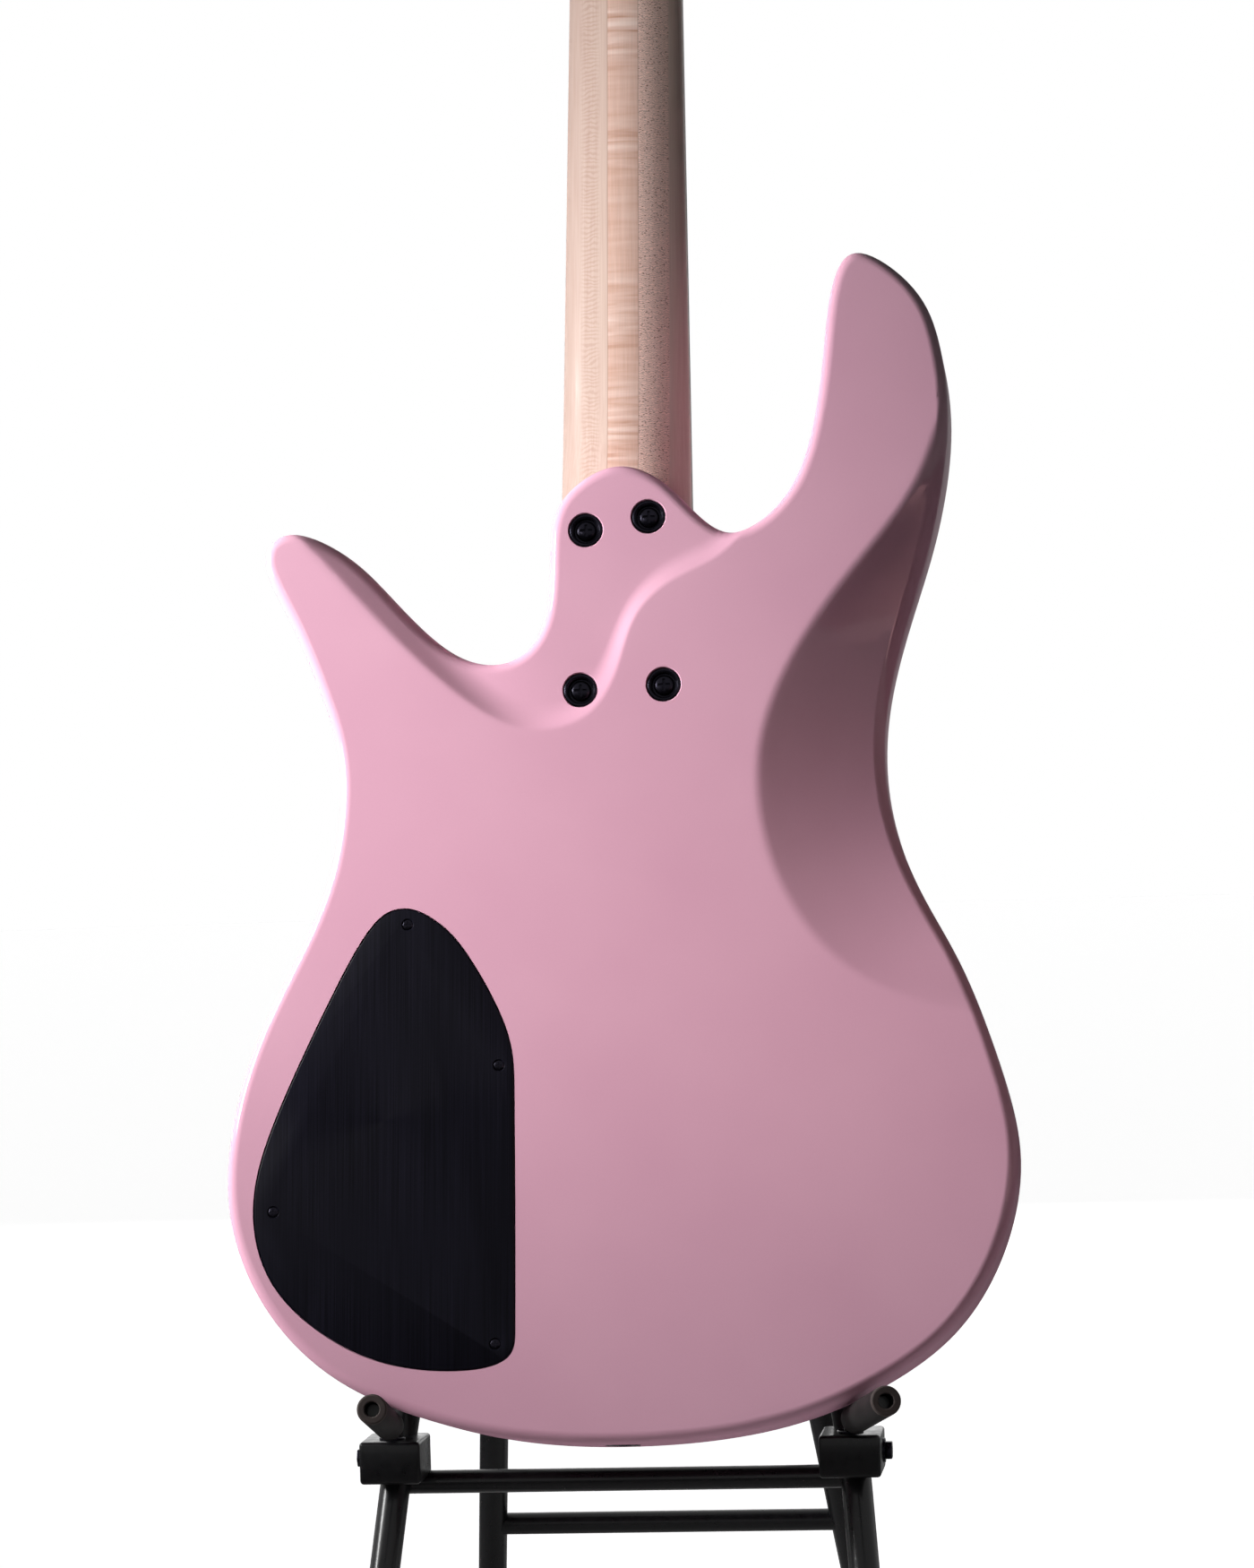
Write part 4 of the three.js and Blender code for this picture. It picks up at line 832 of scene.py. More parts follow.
# ---------------------------------------------------------------- rear cover and fasteners
def pan_screw(head, rise, shank, length):
    """A pan-head screw with a cross recess; its head's underside is at zero."""
    profile = [(0, -length), (shank * 0.3, -length), (shank, -length + shank * 2), (shank, 0), (head, 0)]
    for angle in (0, 0.25, 0.5, 0.8, 1.1, 1.35):
        profile.append((head * math.cos(angle), rise * (0.25 + 0.75 * math.sin(angle))))
    screw = turned([*profile, (0, rise)], 36)
    for across, along in ((1.2, 0.27), (0.27, 1.2)):
        screw = combined(screw, moved(block((head * across, head * along, rise * 1.5)), z=rise))
    return screw


def cover_plate():
    """The rear cover with a rounded rim and countersunk screw holes."""
    ring = smooth_line(COVER_OUTLINE, 8, closed=True)
    bm = slab(ring, -2.5, 0)
    top = [face for face in bm.faces if face.normal.z > 0.9]
    bmesh.ops.translate(bm, verts=[v for face in top for v in face.verts], vec=(0, 0, -0.45))
    bmesh.ops.inset_region(bm, faces=top, thickness=0.3, depth=0.33, use_even_offset=True)
    bmesh.ops.inset_region(bm, faces=top, thickness=0.35, depth=0.12, use_even_offset=True)
    for x, y in COVER_SCREWS:
        bm = combined(bm, moved(turned([(0, -1.4), (1.4, -1.4), (2.75, 0.1), (2.75, 1), (0, 1)], 28), x, y))
    return bm


piece("rear_cover", cover_plate(), BRUSHED, "control_cover")
for number, (x, y) in enumerate(COVER_SCREWS, 1):
    piece(f"cover_screw_{number}", moved(pan_screw(2.3, 0.9, 1.1, 9), x, y, -0.85), BLACK_NICKEL)

FERRULE_PROFILE = [
    (2.9, -6), (6.4, -6), (6.9, -5.4), (7.1, -1.4), (7.1, -0.9), (6.95, -0.5), (6.6, -0.3), (6.1, -0.35),
    (5.8, -0.6), (5.55, -1.1), (5.4, -1.2), (5.2, -1.5), (5.0, -3.2), (2.9, -3.2), (2.9, -6),
]
for number, (x, y, surface) in enumerate(FERRULES, 1):
    ferrule = moved(turned(FERRULE_PROFILE, 48), x, y, surface - 0.05)
    piece(f"ferrule_{number}", ferrule, BLACK_NICKEL, f"neck_ferrule_{number}")
    screw = moved(pan_screw(4.45, 2.4, 2.2, 30), x, y, surface - 3.1)
    piece(f"heel_screw_{number}", screw, BLACK_NICKEL, f"neck_screw_{number}")


# ---------------------------------------------------------------- neck
def neck_section(y, half, depth, power=2.0, base=BOARD_UNDER, tilt=0):
    """A neck section with a flat top; a higher power makes its back squarer."""
    side, steps = 3, 28
    points = [Vector((half, 0, 0)), Vector((-half, 0, 0))]
    for step in range(steps + 1):
        angle = math.pi - math.pi * step / steps
        across = math.copysign(abs(math.cos(angle)) ** (2 / power), math.cos(angle))
        points.append(
            Vector((half * across, 0, side + (depth - side) * abs(math.sin(angle)) ** (2 / power)))
        )
    turn = Matrix.Rotation(math.radians(tilt), 3, "X")
    return [turn @ point + Vector((0, y, base)) for point in points]


HEAD_HALF = [
    (20, -2), (21, 6), (27, 20), (36, 38), (39, 60), (36, 85), (35, 112), (33, 138), (24, 158), (10, 168),
]
SHAFT_DEPTHS = [  # height up the neck, depth, squareness
    (HEEL_BLOCK_END + 8, 23.7, 3), (HEEL_BLOCK_END + 22, 22, 2.3), (HEEL_BLOCK_END + 45, 19.4, 2),
    (HEEL_BLOCK_END + 70, 18, 2), (560, 17.4, 2), (720, 16.4, 2), (NUT_Y - 60, 15.5, 2),
    (NUT_Y - 20, 15.5, 2),
]


def whole_neck():
    """Heel block, shaft and tilted headstock in one, hollowed for the truss rod."""
    sections = [neck_section(y, neck_half(y), depth, power) for y, depth, power in SHAFT_DEPTHS]
    sections += [
        neck_section(NUT_Y - 6, neck_half(NUT_Y), 15.8, 2.1),
        neck_section(NUT_Y + 6, 20.6, 16.4, 2.4, tilt=3),
        neck_section(NUT_Y + 18, 22, 15.6, 3.2, BOARD_UNDER + 1.8, tilt=8),
        neck_section(NUT_Y + 30, 25, 14.3, 6, BOARD_UNDER + 3.9, tilt=10),
    ]
    heel_end = HEEL_BLOCK_END + 9
    heel = block((1, heel_end - HEEL_Y, 24 - 0.3), (0, (heel_end + HEEL_Y) / 2, (BOARD_UNDER - 22.3) / 2))
    for vertex in heel.verts:
        vertex.co.x *= 2 * neck_half(vertex.co.y)
    right = [Vector((x, y, 0)) for x, y in HEAD_HALF]
    left = [Vector((-x, y, 0)) for x, y in reversed(HEAD_HALF)]
    head = slab(smooth_line([*right, Vector((0, 171, 0)), *left], 5, closed=False), 0, HEAD_THICKNESS)
    soften(head, [e for e in sharp_edges(head, 60) if sum(v.co.y for v in e.verts) > 20], 2.6, 4)
    for x, y in TUNERS:
        head = combined(head, moved(cylinder(5.3, 0, 20, 28), x, y, -2))
    head.transform(HEAD_ON_GUITAR)
    neck = combined(combined(skin(sections), heel, "UNION"), head, "UNION")
    return combined(neck, block((6.6, 620.6, 18.6), (0, 610, BOARD_UNDER)))


piece("maple_neck", whole_neck(), MAPLE, "neck", smooth=30)


# ---------------------------------------------------------------- fingerboard
FRETS = 24
BOARD_SHARES = [step / 6 for step in range(-6, 7)]  # across the fingerboard, in half widths


def fret_y(number):
    return NUT_Y - SCALE_LENGTH * (1 - 2 ** (-number / 12))


def board_height(across):
    """Height of the fingerboard's face at a share of its half width."""
    return BOARD_TOP + 1.2 * across * across


def fingerboard():
    """A board arched across its width, tapering from its last fret to the nut."""
    sections = []
    for y in (fret_y(FRETS) - 8, NUT_Y):
        half = neck_half(y)
        arch = [Vector((half * u, y, board_height(u))) for u in BOARD_SHARES]
        sections.append([Vector((half, y, BOARD_UNDER - 0.3)), Vector((-half, y, BOARD_UNDER - 0.3)), *arch])
    bm = skin(sections)
    soften(bm, sharp_edges(bm, 50), 0.5, 2)
    return bm


def fret_wires():
    wires = []
    arc = [math.pi * k / 6 for k in range(7)]
    for number in range(1, FRETS + 1):
        y = fret_y(number)
        half = neck_half(y) - 0.2
        sections = []
        for u in BOARD_SHARES:
            tall, base = 1 if abs(u) < 1 else 0.35, board_height(u)
            profile = [(y + 1.2 * math.cos(a), base - tall * math.sin(a)) for a in arc]
            sections.append([Vector((u * half, *point)) for point in profile])
        wires.append(skin(sections))
    return gathered(*wires)


def marker_dots():
    dots = []
    for number in (3, 5, 7, 9, 12, 15, 17, 19, 21, 24):
        y = (fret_y(number) + fret_y(number - 1)) / 2
        for u in (-0.45, 0.45) if number % 12 == 0 else (0,):
            dot = turned([(0, 0.3), (3, 0.3), (3, -0.02), (2.9, -0.06), (0, -0.06)], 28)
            dots.append(moved(dot, u * neck_half(y), y, board_height(u)))
            edge, side_y, side_z = neck_half(y) + 0.04, y + 3 * u, BOARD_UNDER - 3
            dots.append(between(cylinder(1.1, 0, 0.35, 16), (-edge, side_y, side_z), (0, side_y, side_z)))
    return gathered(*dots)


def string_x(number, spacing=SADDLE_SPACING):
    return (number - 1.5) * spacing


def string_nut():
    """A rounded nut with a slot cut for each string."""
    bm = block((41, 4.5, 9.3), (0, 0, 0))
    soften(bm, [e for e in sharp_edges(bm) if all(v.co.z < 0 for v in e.verts)], 1.1, 4)
    bm = moved(bm, 0, NUT_Y + 0.3 + 2.25, BOARD_UNDER - 0.3 - 4.65)
    slots = []
    for number, radius in enumerate(STRINGS):
        x, z = string_x(number, NUT_SPACING), BOARD_TOP - STRING_SEAT - radius
        slot = tube([(x, NUT_Y - 2, z), (x, NUT_Y + 8, z)], radius + 0.25)
        slots.append(combined(slot, block((2 * radius + 0.4, 10, 6), (x, NUT_Y + 3, z - 3)), "UNION"))
    return combined(bm, gathered(*slots))


def truss_bars():
    """A flat bar over a round rod, held by end blocks, with a hexagonal nut."""
    start, end, middle = HEEL_Y + 8, NUT_Y - 24, (HEEL_Y + NUT_Y - 16) / 2
    low, rod_z = BOARD_UNDER, BOARD_UNDER + 5.9
    flat_bar = block((5.6, end - start, 3), (0, middle, low + 1.6), 0.3, 2)
    rod = tube([(0, start + 4, rod_z), (0, end - 4, rod_z)], 2.3)
    blocks = [block((6, 14, 8.5), (0, y, low + 4.3), 0.6, 2) for y in (start + 7, end - 12)]
    nut = turned([(1.6, 0), (2.6, 0), (2.6, 5), (1.6, 5), (1.6, 0)], 6)
    return gathered(flat_bar, rod, *blocks, between(nut, (0, end - 6, rod_z), (0, end, rod_z)))


piece("fingerboard", fingerboard(), EBONY, "fretboard")
piece("fret_wires", fret_wires(), STEEL, smooth=50)
piece("marker_dots", marker_dots(), PEARL)
piece("string_nut", string_nut(), BONE, "nut")
piece("truss_bars", truss_bars(), STEEL, "truss_rod")


# ---------------------------------------------------------------- pickups and bridge
def pickup():
    """A closed pickup cover with rounded corners and two countersunk holes."""
    bm = block(PICKUP_SIZE)
    soften(bm, [e for e in bm.edges if abs(e.verts[0].co.z - e.verts[1].co.z) > 1], 5, 6)
    soften(bm, [e for e in sharp_edges(bm, 60) if all(v.co.z < 0 for v in e.verts)], 1.4, 4)
    sink = [(0, -13), (3.4, -13), (2.2, -10.5), (0, -10.5)]
    return combined(bm, gathered(*(moved(turned(sink, 24), x) for x in PICKUP_SCREWS)))


for name, y in PICKUPS.items():
    piece(f"{name}_soapbar", moved(pickup(), 0, y, FACE + 4), BLACK_PLASTIC, f"{name}_pickup")
    heads = gathered(*(moved(pan_screw(2.1, 1.0, 1.2, 8), x) for x in PICKUP_SCREWS))
    piece(f"{name}_soapbar_screws", facing_front(heads, 0, y, FACE - 6.7), BLACK_NICKEL)


PLATE_TOP = FACE - 3.3
BRIDGE_TAIL = SADDLE_Y - 32
ANCHOR_Z = PLATE_TOP - 6.7
SADDLE_TOP = BOARD_TOP - 4.3  # undersides of the strings over the saddles
ROD_ASIDE = 4.6  # the adjusting rods run beside the strings
ROD_Z = PLATE_TOP - 10.7
GRUB_X, GRUB_Y = (-6, 6), 1.4
BRIDGE_SCREWS = [(-38.5, 60), (38.5, 60), (-38.5, 104), (38.5, 104), (0, 104)]


def bridge_base():
    """The bridge's plate and the wall behind it that holds the string ends and the adjusting rods."""
    base = block((84, 62, 3), (0, BRIDGE_TAIL + 31, PLATE_TOP + 1.5))
    wall = block((84, 4, 15), (0, BRIDGE_TAIL + 2, PLATE_TOP + 1 - 7.5))
    base = combined(base, wall, "UNION")
    soften(base, [e for e in sharp_edges(base, 60) if min(v.co.z for v in e.verts) < PLATE_TOP + 1], 0.9, 3)
    holes = []
    for number in range(len(STRINGS)):
        x = string_x(number)
        for hole_x, z, radius in ((x, ANCHOR_Z, 3), (x + ROD_ASIDE, ROD_Z, 1.5)):
            holes.append(tube([(hole_x, BRIDGE_TAIL - 3, z), (hole_x, BRIDGE_TAIL + 8, z)], radius))
    sink = [(0, -3), (3.4, -3), (2.1, 0.6), (0, 0.6)]
    holes += [moved(turned(sink, 24), x, y, PLATE_TOP + 1) for x, y in BRIDGE_SCREWS]
    return combined(base, gathered(*holes))


def saddle(radius):
    """A saddle grooved for its string and bored for its adjusting rod and grub screws."""
    low, high, seat = PLATE_TOP - 0.3, SADDLE_TOP - 1.2, SADDLE_TOP - radius
    bm = block((17.4, 11, low - high), (0, 0, (low + high) / 2), 0.8, 3)
    groove = radius + 0.3
    channel = tube([(0, -8, seat), (0, 8, seat)], groove)
    channel = combined(channel, block((2 * groove, 16, 6), (0, 0, seat - 3)), "UNION")
    holes = [moved(cylinder(1.7, 0, 3.5, 20), x, GRUB_Y, high - 1.5) for x in GRUB_X]
    bm = combined(bm, gathered(channel, *holes))
    rod_hole = turned([(0, -1), (2.8, -1), (2.8, 5), (1.6, 5.6), (1.6, 12), (0, 12)], 28)
    return combined(bm, between(rod_hole, (ROD_ASIDE, -5.5, ROD_Z), (ROD_ASIDE, 6, ROD_Z)))


def grub_screws():
    """The two hollow hexagonal screws that set a saddle's height."""
    grub = [(0.8, 0), (1.5, 0), (1.5, 2.7), (0, 2.7), (0, 2), (0.8, 2), (0.8, 0)]
    return gathered(*(moved(turned(grub, 6), x, GRUB_Y, SADDLE_TOP - 1.8) for x in GRUB_X))


def adjusting_screw(number):
    """A rod with a cross head behind the bridge's wall and a spring before it."""
    x, z = string_x(number) + ROD_ASIDE, ROD_Z
    turns = []
    for angle in (step * 0.5 for step in range(110)):
        around = Vector((2.1 * math.cos(angle), angle * 0.36, 2.1 * math.sin(angle)))
        turns.append(Vector((x, SADDLE_Y - 26.5, z)) + around)
    rod = tube([(x, BRIDGE_TAIL - 0.6, z), (x, SADDLE_Y - 1, z)], 1.3)
    head = between(pan_screw(2.7, 1.4, 1.2, 3), (x, BRIDGE_TAIL - 0.1, z), (x, BRIDGE_TAIL - 4, z))
    return gathered(rod, head, coil(turns, 0.32))


def coil(path, radius):
    """A fine wire along many points."""
    sections = []
    for i, point in enumerate(path):
        along = (path[min(i + 1, len(path) - 1)] - path[max(i - 1, 0)]).normalized()
        side = along.orthogonal() if i == 0 else (side - along * side.dot(along))
        side = side.normalized()
        up = along.cross(side)
        sections.append([point + radius * (math.cos(a) * side + math.sin(a) * up) for a in turns_of(6)])
    return skin(sections)


piece("bridge_base", bridge_base(), BLACK_NICKEL, "bridge_plate")
plate_heads = [facing_front(pan_screw(3.1, 1.2, 1.4, 3), x, y, PLATE_TOP - 0.3) for x, y in BRIDGE_SCREWS]
piece("bridge_fixings", gathered(*plate_heads), BLACK_NICKEL)
for number, radius in enumerate(STRINGS):
    index, x = number + 1, string_x(number)
    rider = f"saddle_{index}"
    piece(f"saddle_block_{index}", moved(saddle(radius), x, SADDLE_Y), BLACK_NICKEL, rider, rider)
    piece(f"saddle_grub_screws_{index}", moved(grub_screws(), x, SADDLE_Y), STEEL, body=rider)
    piece(f"intonation_screw_{index}", adjusting_screw(number), STEEL, smooth=50)


# ---------------------------------------------------------------- strings and machine heads
KEY_Y, KEY_Z = 9.5, 18.8  # where a key's shaft crosses its housing, from the post


def string_course(number):
    """A string from its ball end at the bridge, over saddle and nut, to its post."""
    radius = STRINGS[number]
    bridge_x, nut_x = string_x(number), string_x(number, NUT_SPACING)
    fall = STRING_FALL / SCALE_LENGTH

    def over(y):
        return BOARD_TOP - STRING_SEAT - (NUT_Y - y) * fall - radius

    x, y = TUNERS[number]
    post = HEAD_ON_GUITAR @ Vector((x - math.copysign(6.4 + radius, x), y, -7.25))
    path = [
        (bridge_x, BRIDGE_TAIL - 0.3, ANCHOR_Z), (bridge_x, BRIDGE_TAIL + 5, ANCHOR_Z),
        (bridge_x, SADDLE_Y - 11, over(SADDLE_Y - 11)), (nut_x, NUT_Y + 4.8, over(NUT_Y)), post,
    ]
    line = coil([Vector(point) for point in path], radius)
    ball = [(0, 0), (2.6, 0), (3.3, 0.7), (2.7, 1.6), (2.7, 2.7), (3.3, 3.5), (2.6, 4.2), (0, 4.2)]
    end = (bridge_x, BRIDGE_TAIL - 4.7, ANCHOR_Z)
    return gathered(line, between(turned(ball, 24), end, (bridge_x, BRIDGE_TAIL, ANCHOR_Z)))


def tuner_housing(side):
    """The box over a post's gear, with a collar for the key's shaft and two screwed feet."""
    seat, middle_y = HEAD_THICKNESS + 0.3, 4.75
    bm = block((19, 27, 10), (0, middle_y, seat + 5))
    soften(bm, [e for e in sharp_edges(bm) if max(v.co.z for v in e.verts) > 20], 2, 4)
    bm = combined(bm, block((15, 23, 10), (0, middle_y, seat + 3)))
    bm = combined(bm, between(cylinder(2.85, 0, 14), (side * 4, KEY_Y, KEY_Z), (side * 18, KEY_Y, KEY_Z)))
    collar = turned([(2.9, 0), (4.6, 0), (4.6, 2.2), (4.2, 2.7), (2.9, 2.7), (2.9, 0)], 28)
    collar = between(collar, (side * 9.2, KEY_Y, KEY_Z), (side * 12, KEY_Y, KEY_Z))
    places = [(-side * 11.5, y) for y in (13, -3.5)]
    foot = [(2.4, 14.6), (4.4, 14.6), (4.4, 16), (4.1, 16.3), (2.4, 16.3), (2.4, 14.6)]
    feet = [moved(turned(foot, 28), *place) for place in places]
    screws = [moved(pan_screw(2.3, 1, 1, 2), *place, 16.3) for place in places]
    return gathered(bm, collar, *feet, *screws)


def toothed(radius, low, high, teeth=72, depth=0.35):
    """A disc whose rim dips by a depth between its teeth; a negative depth makes teeth stand out."""
    rim = [polar(radius - (depth if k % 2 else 0), math.pi * k / teeth) for k in range(teeth * 2)]
    return slab(rim, low, high)


def tuner_post():
    """A slotted post with the gear that its key drives."""
    profile = [
        (0, 17), (3.8, 17), (3.8, -2), (4.5, -2.2), (4.5, -4), (3.9, -5), (3.7, -9.5), (4.5, -11.5),
        (4.5, -16.2), (4.1, -16.9), (0, -17),
    ]
    post = combined(turned(profile, 36), block((2, 12, 9), (0, 0, -17)))
    return gathered(toothed(4.7, 16.9, 20.7, 14, -0.7), post)


def string_wrap(radius):
    """The turns of a string round its post: two for a thick one, three for a thin one."""
    per_turn, turns, low, climb = 20, 2 if radius > 1 else 3, -5, 2.05 * radius
    angles = [2 * math.pi * k / per_turn for k in range(per_turn * turns + 1)]
    return coil([polar(3.9 + radius, a, low - climb * a / (2 * math.pi)) for a in angles], radius)


def tuner_key(side, reach):
    """A worm, its shaft and an oval button, to either side of the headstock."""
    thread = []
    for k in range(184):
        angle = k * 0.21
        thread.append(Vector((k * 0.05 - 4.6, 2.35 * math.cos(angle), 2.35 * math.sin(angle))))
    worm = gathered(tube([(-5, 0, 0), (5, 0, 0)], 2.2), coil(thread, 0.5))
    profile = [
        (0, 0), (2.5, 0), (2.5, reach - 9), (3.1, reach - 6), (3.1, reach - 3.5), (2.2, reach - 2),
        (2.2, reach + 2), (0, reach + 2),
    ]
    shaft = between(turned(profile, 28), (4, 0, 0), (20, 0, 0))
    ring = []
    for angle in turns_of(48):
        narrowing = 1 - 0.12 * abs(math.cos(angle))
        ring.append(Vector((11 * math.cos(angle), 12.5 * math.sin(angle) * narrowing, 0)))
    paddle = slab(ring, -2.5, 2.5)
    soften(paddle, sharp_edges(paddle, 60), 1.5, 4)
    key = gathered(worm, shaft, moved(paddle, reach + 9))
    if side < 0:
        key.transform(Matrix.Rotation(math.pi, 4, "Y"))
    return key


for number, (x, y) in enumerate(TUNERS):
    side, index, radius = math.copysign(1, x), number + 1, STRINGS[number]
    place = HEAD @ Matrix.Translation((x, y, 0))
    post, key = f"tuner_post_{index}", f"tuner_key_{index}"
    piece(f"string_course_{index}", string_course(number), WINDING, f"string_{index}", smooth=60)
    piece(f"machine_head_{index}", tuner_housing(side), BLACK_NICKEL, f"tuner_housing_{index}", place=place)
    piece(f"string_post_{index}", tuner_post(), BLACK_NICKEL, post, post, place)
    piece(f"string_wrap_{index}", string_wrap(radius), WINDING, (), post, place, smooth=60)
    at_key = HEAD @ Matrix.Translation((x, y + KEY_Y, KEY_Z))
    piece(f"tuner_button_{index}", tuner_key(side, 45 - abs(x)), BLACK_NICKEL, key, key, at_key)
    bushing = turned([(4.9, 0), (8, 0), (7.9, -0.7), (7.2, -1.2), (5.6, -1.6), (4.9, -1.6), (4.9, 0)], 36)
    piece(f"post_bushing_{index}", bushing, BLACK_NICKEL, place=place)


# ---------------------------------------------------------------- knobs, toggle, jack and electronics
def knob():
    """A domed metal knob; its axis points out of the front."""
    cap = [
        (0, -15), (2.9, -15), (2.9, -0.4), (8.2, -0.4), (8.2, 0.1), (9.1, 0.5), (9.2, 2.2), (9.2, 11.4),
        (9.0, 12.4), (8.4, 13.3), (7.4, 13.8), (6.4, 13.8), (5.6, 13.3), (0, 13.1),
    ]
    pointer = block((1, 3.4, 0.5), (0, 7.4, 13.7), 0.2, 2)
    return gathered(turned(cap, 48), toothed(9.45, 2.4, 11.2), pointer)


for number, (x, y) in enumerate(KNOBS, 1):
    shape, rider = facing_front(knob(), x, y, FACE - 0.5), f"knob_{number}"
    piece(f"control_knob_{number}", shape, BLACK_NICKEL, rider, rider)

lever = turned([(0, -5), (1.6, -5), (1.6, 3), (1.9, 6), (2.5, 12), (2.4, 13.8), (1.6, 14.8), (0, 15)], 28)
piece("switch_lever", facing_front(lever, *TOGGLE, FACE), BLACK_NICKEL, "toggle_lever", "toggle")
collar = gathered(
    turned([(3.6, 0.3), (7, 0.3), (6.8, 0.9), (3.6, 1), (3.6, 0.3)], 40),
    combined(slab(circle(5.6, 6), 1, 2.6), cylinder(3.5, 0, 4, 28)),
)
piece("switch_collar", facing_front(collar, *TOGGLE, FACE), BLACK_NICKEL)

JACK_PROFILE = [
    (3.5, 1.4), (4.2, 1), (7.3, 1), (8, 1.6), (8, 3.4), (6.5, 3.6), (6.5, 17.4), (5.9, 18), (0, 18),
    (0, 15.5), (3.5, 15.5), (3.5, 1.4),
]
jack = between(turned(JACK_PROFILE, 40), (-165, JACK_Y, FACE / 2), (-100, JACK_Y, FACE / 2))
piece("jack_socket", jack, BLACK_NICKEL, "output_jack")


PREAMP_TOP = -22.4


def preamp():
    """The circuit board, the cases of the knobs' potentiometers, and the parts on the board."""
    ring = offset_ring(smooth_line(COVER_OUTLINE, 6, closed=True), 10)
    board = slab([point for point in ring if point.y > 64], PREAMP_TOP - 1.6, PREAMP_TOP)
    case = [(3.4, -33.6), (8.5, -33.6), (8.5, -25.2), (8.0, -24.4), (5, -24.1), (3.4, -24.1), (3.4, -33.6)]
    pots = []
    for x, y in KNOBS:
        pots.append(moved(turned(case, 36), x, y))
    parts = [block((14, 7, 3), (-86, 150, -20.9), 0.3, 2), block((7, 5, 2.4), (-70, 128, -21.2), 0.3, 2)]
    for x, y, height in ((-78, 172, 7), (-92, 182, 6), (-66, 150, 8), (-104, 140, 5)):
        top = PREAMP_TOP + height
        can = [(0, PREAMP_TOP), (3, PREAMP_TOP), (3, top - 0.6), (2.6, top), (0, top)]
        parts.append(moved(turned(can, 24), x, y))
    return board, gathered(*pots), gathered(*parts)


board, pots, parts = preamp()
piece("preamp_board", board, GREEN, "control_board")
piece("potentiometers", pots, STEEL)
piece("preamp_parts", parts, BLACK_PLASTIC)
cell = block((48.5, 26.5, 17.5), (0, 0, 0), 1.6, 4)
snaps = [between(cylinder(3, 0, 0.8, 20), (23.6, y, 0), (30, y, 0)) for y in (-6, 6)]
battery_at = (-86, 86, PREAMP_TOP + 9.85)
piece("battery_case", moved(cell, *battery_at), BLACK_PLASTIC, "battery")
piece("battery_snaps", moved(gathered(*snaps), *battery_at), STEEL)

SOCKET_PROFILE = [
    (0, 0), (5.5, 0), (5.5, 8.4), (7.3, 10.4), (7.5, 10.7), (7.5, 11.2), (7.2, 11.6), (4.6, 11.6), (4, 11),
    (4, 3), (0, 3),
]
for name, (x, y), way in (("tail", (0, 0), 1), ("horn", STRAP_HORN, -1)):
    socket = between(turned(SOCKET_PROFILE, 40), (x, y + way * 11.6, FACE / 2), (x, y, FACE / 2))
    piece(f"strap_button_{name}", socket, BLACK_NICKEL, f"strap_socket_{name}")


# ---------------------------------------------------------------- stand
LEG_TOP, LEG_BEND = Vector((66, -1.9, 373.0)), Vector((66, -15.1, 298.1))
KNEE, FRONT_FOOT = Vector((97.5, -30.5, 117.8)), Vector((108, -79.5, 6))
REAR_TOP, REAR_FOOT = Vector((54, 0, HINGE_HEIGHT)), Vector((88, 165, 6))
LUG_X = 66.65
ARM_RISE, ARM_SWING = 11.5, {"left": 5, "right": 12}
ARM_REACH, PIN_RADIUS = 98, 2.8
LEG_RADIUS, CROSSBAR_RADIUS = 6.5, 5


def mirrored(point, side):
    return Vector((point[0] * side, point[1], point[2]))


def along_leg(top, foot, height):
    return top.lerp(foot, (top.z - height) / (top.z - foot.z))


def lug(side):
    """A plate with a round eye that carries the hinge rod and a stop for the rear leg."""
    leg_y = along_leg(LEG_BEND, KNEE, HINGE_HEIGHT).y
    turns = [math.pi / 2 - math.pi * k / 14 for k in range(15)]
    outline = [(math.cos(a) * 9, HINGE_HEIGHT + math.sin(a) * 9) for a in turns]
    outline += [(4, HINGE_HEIGHT - 21), (leg_y, HINGE_HEIGHT - 22), (leg_y, HINGE_HEIGHT + 9)]
    bm = slab([Vector((y, z, 0)) for y, z in reversed(outline)], -2.5, 2.5)
    bm.transform(Matrix(((0, 0, 1, side * LUG_X), (1, 0, 0, 0), (0, 1, 0, 0), (0, 0, 0, 1))))
    soften(bm, sharp_edges(bm, 60), 0.6, 2)
    return bm


def front_frame():
    """The bent pair of legs with a crossbar, and a lug on each for the hinge rod."""
    bar = KNEE - Vector((0, 0, 11.5))
    parts = [tube([mirrored(bar, -1), bar], CROSSBAR_RADIUS)]
    for side in (-1, 1):
        path = [mirrored(point, side) for point in (LEG_TOP, LEG_BEND, KNEE, FRONT_FOOT)]
        parts.append(tube(path, LEG_RADIUS, 18, 6))
        parts.append(lug(side))
        parts.append(block((13, 7, 8), (side * (LUG_X - 5.5), 12, HINGE_HEIGHT - 17), 0.8, 2))
    return gathered(*parts)


def rear_frame():
    """The folding pair of legs with a crossbar and an eye each for the hinge rod."""
    cross = along_leg(REAR_TOP, REAR_FOOT, 64)
    parts = [tube([mirrored(cross, -1), cross], CROSSBAR_RADIUS)]
    eye = [(4.35, -6.5), (8.4, -6.5), (9, -6), (9, 6), (8.4, 6.5), (4.35, 6.5), (4.35, -6.5)]
    for side in (-1, 1):
        top = mirrored(REAR_TOP, side)
        parts.append(tube([top, mirrored(REAR_FOOT, side)], LEG_RADIUS))
        parts.append(between(turned(eye, 40), top, top + Vector((1, 0, 0))))
    return gathered(*parts)


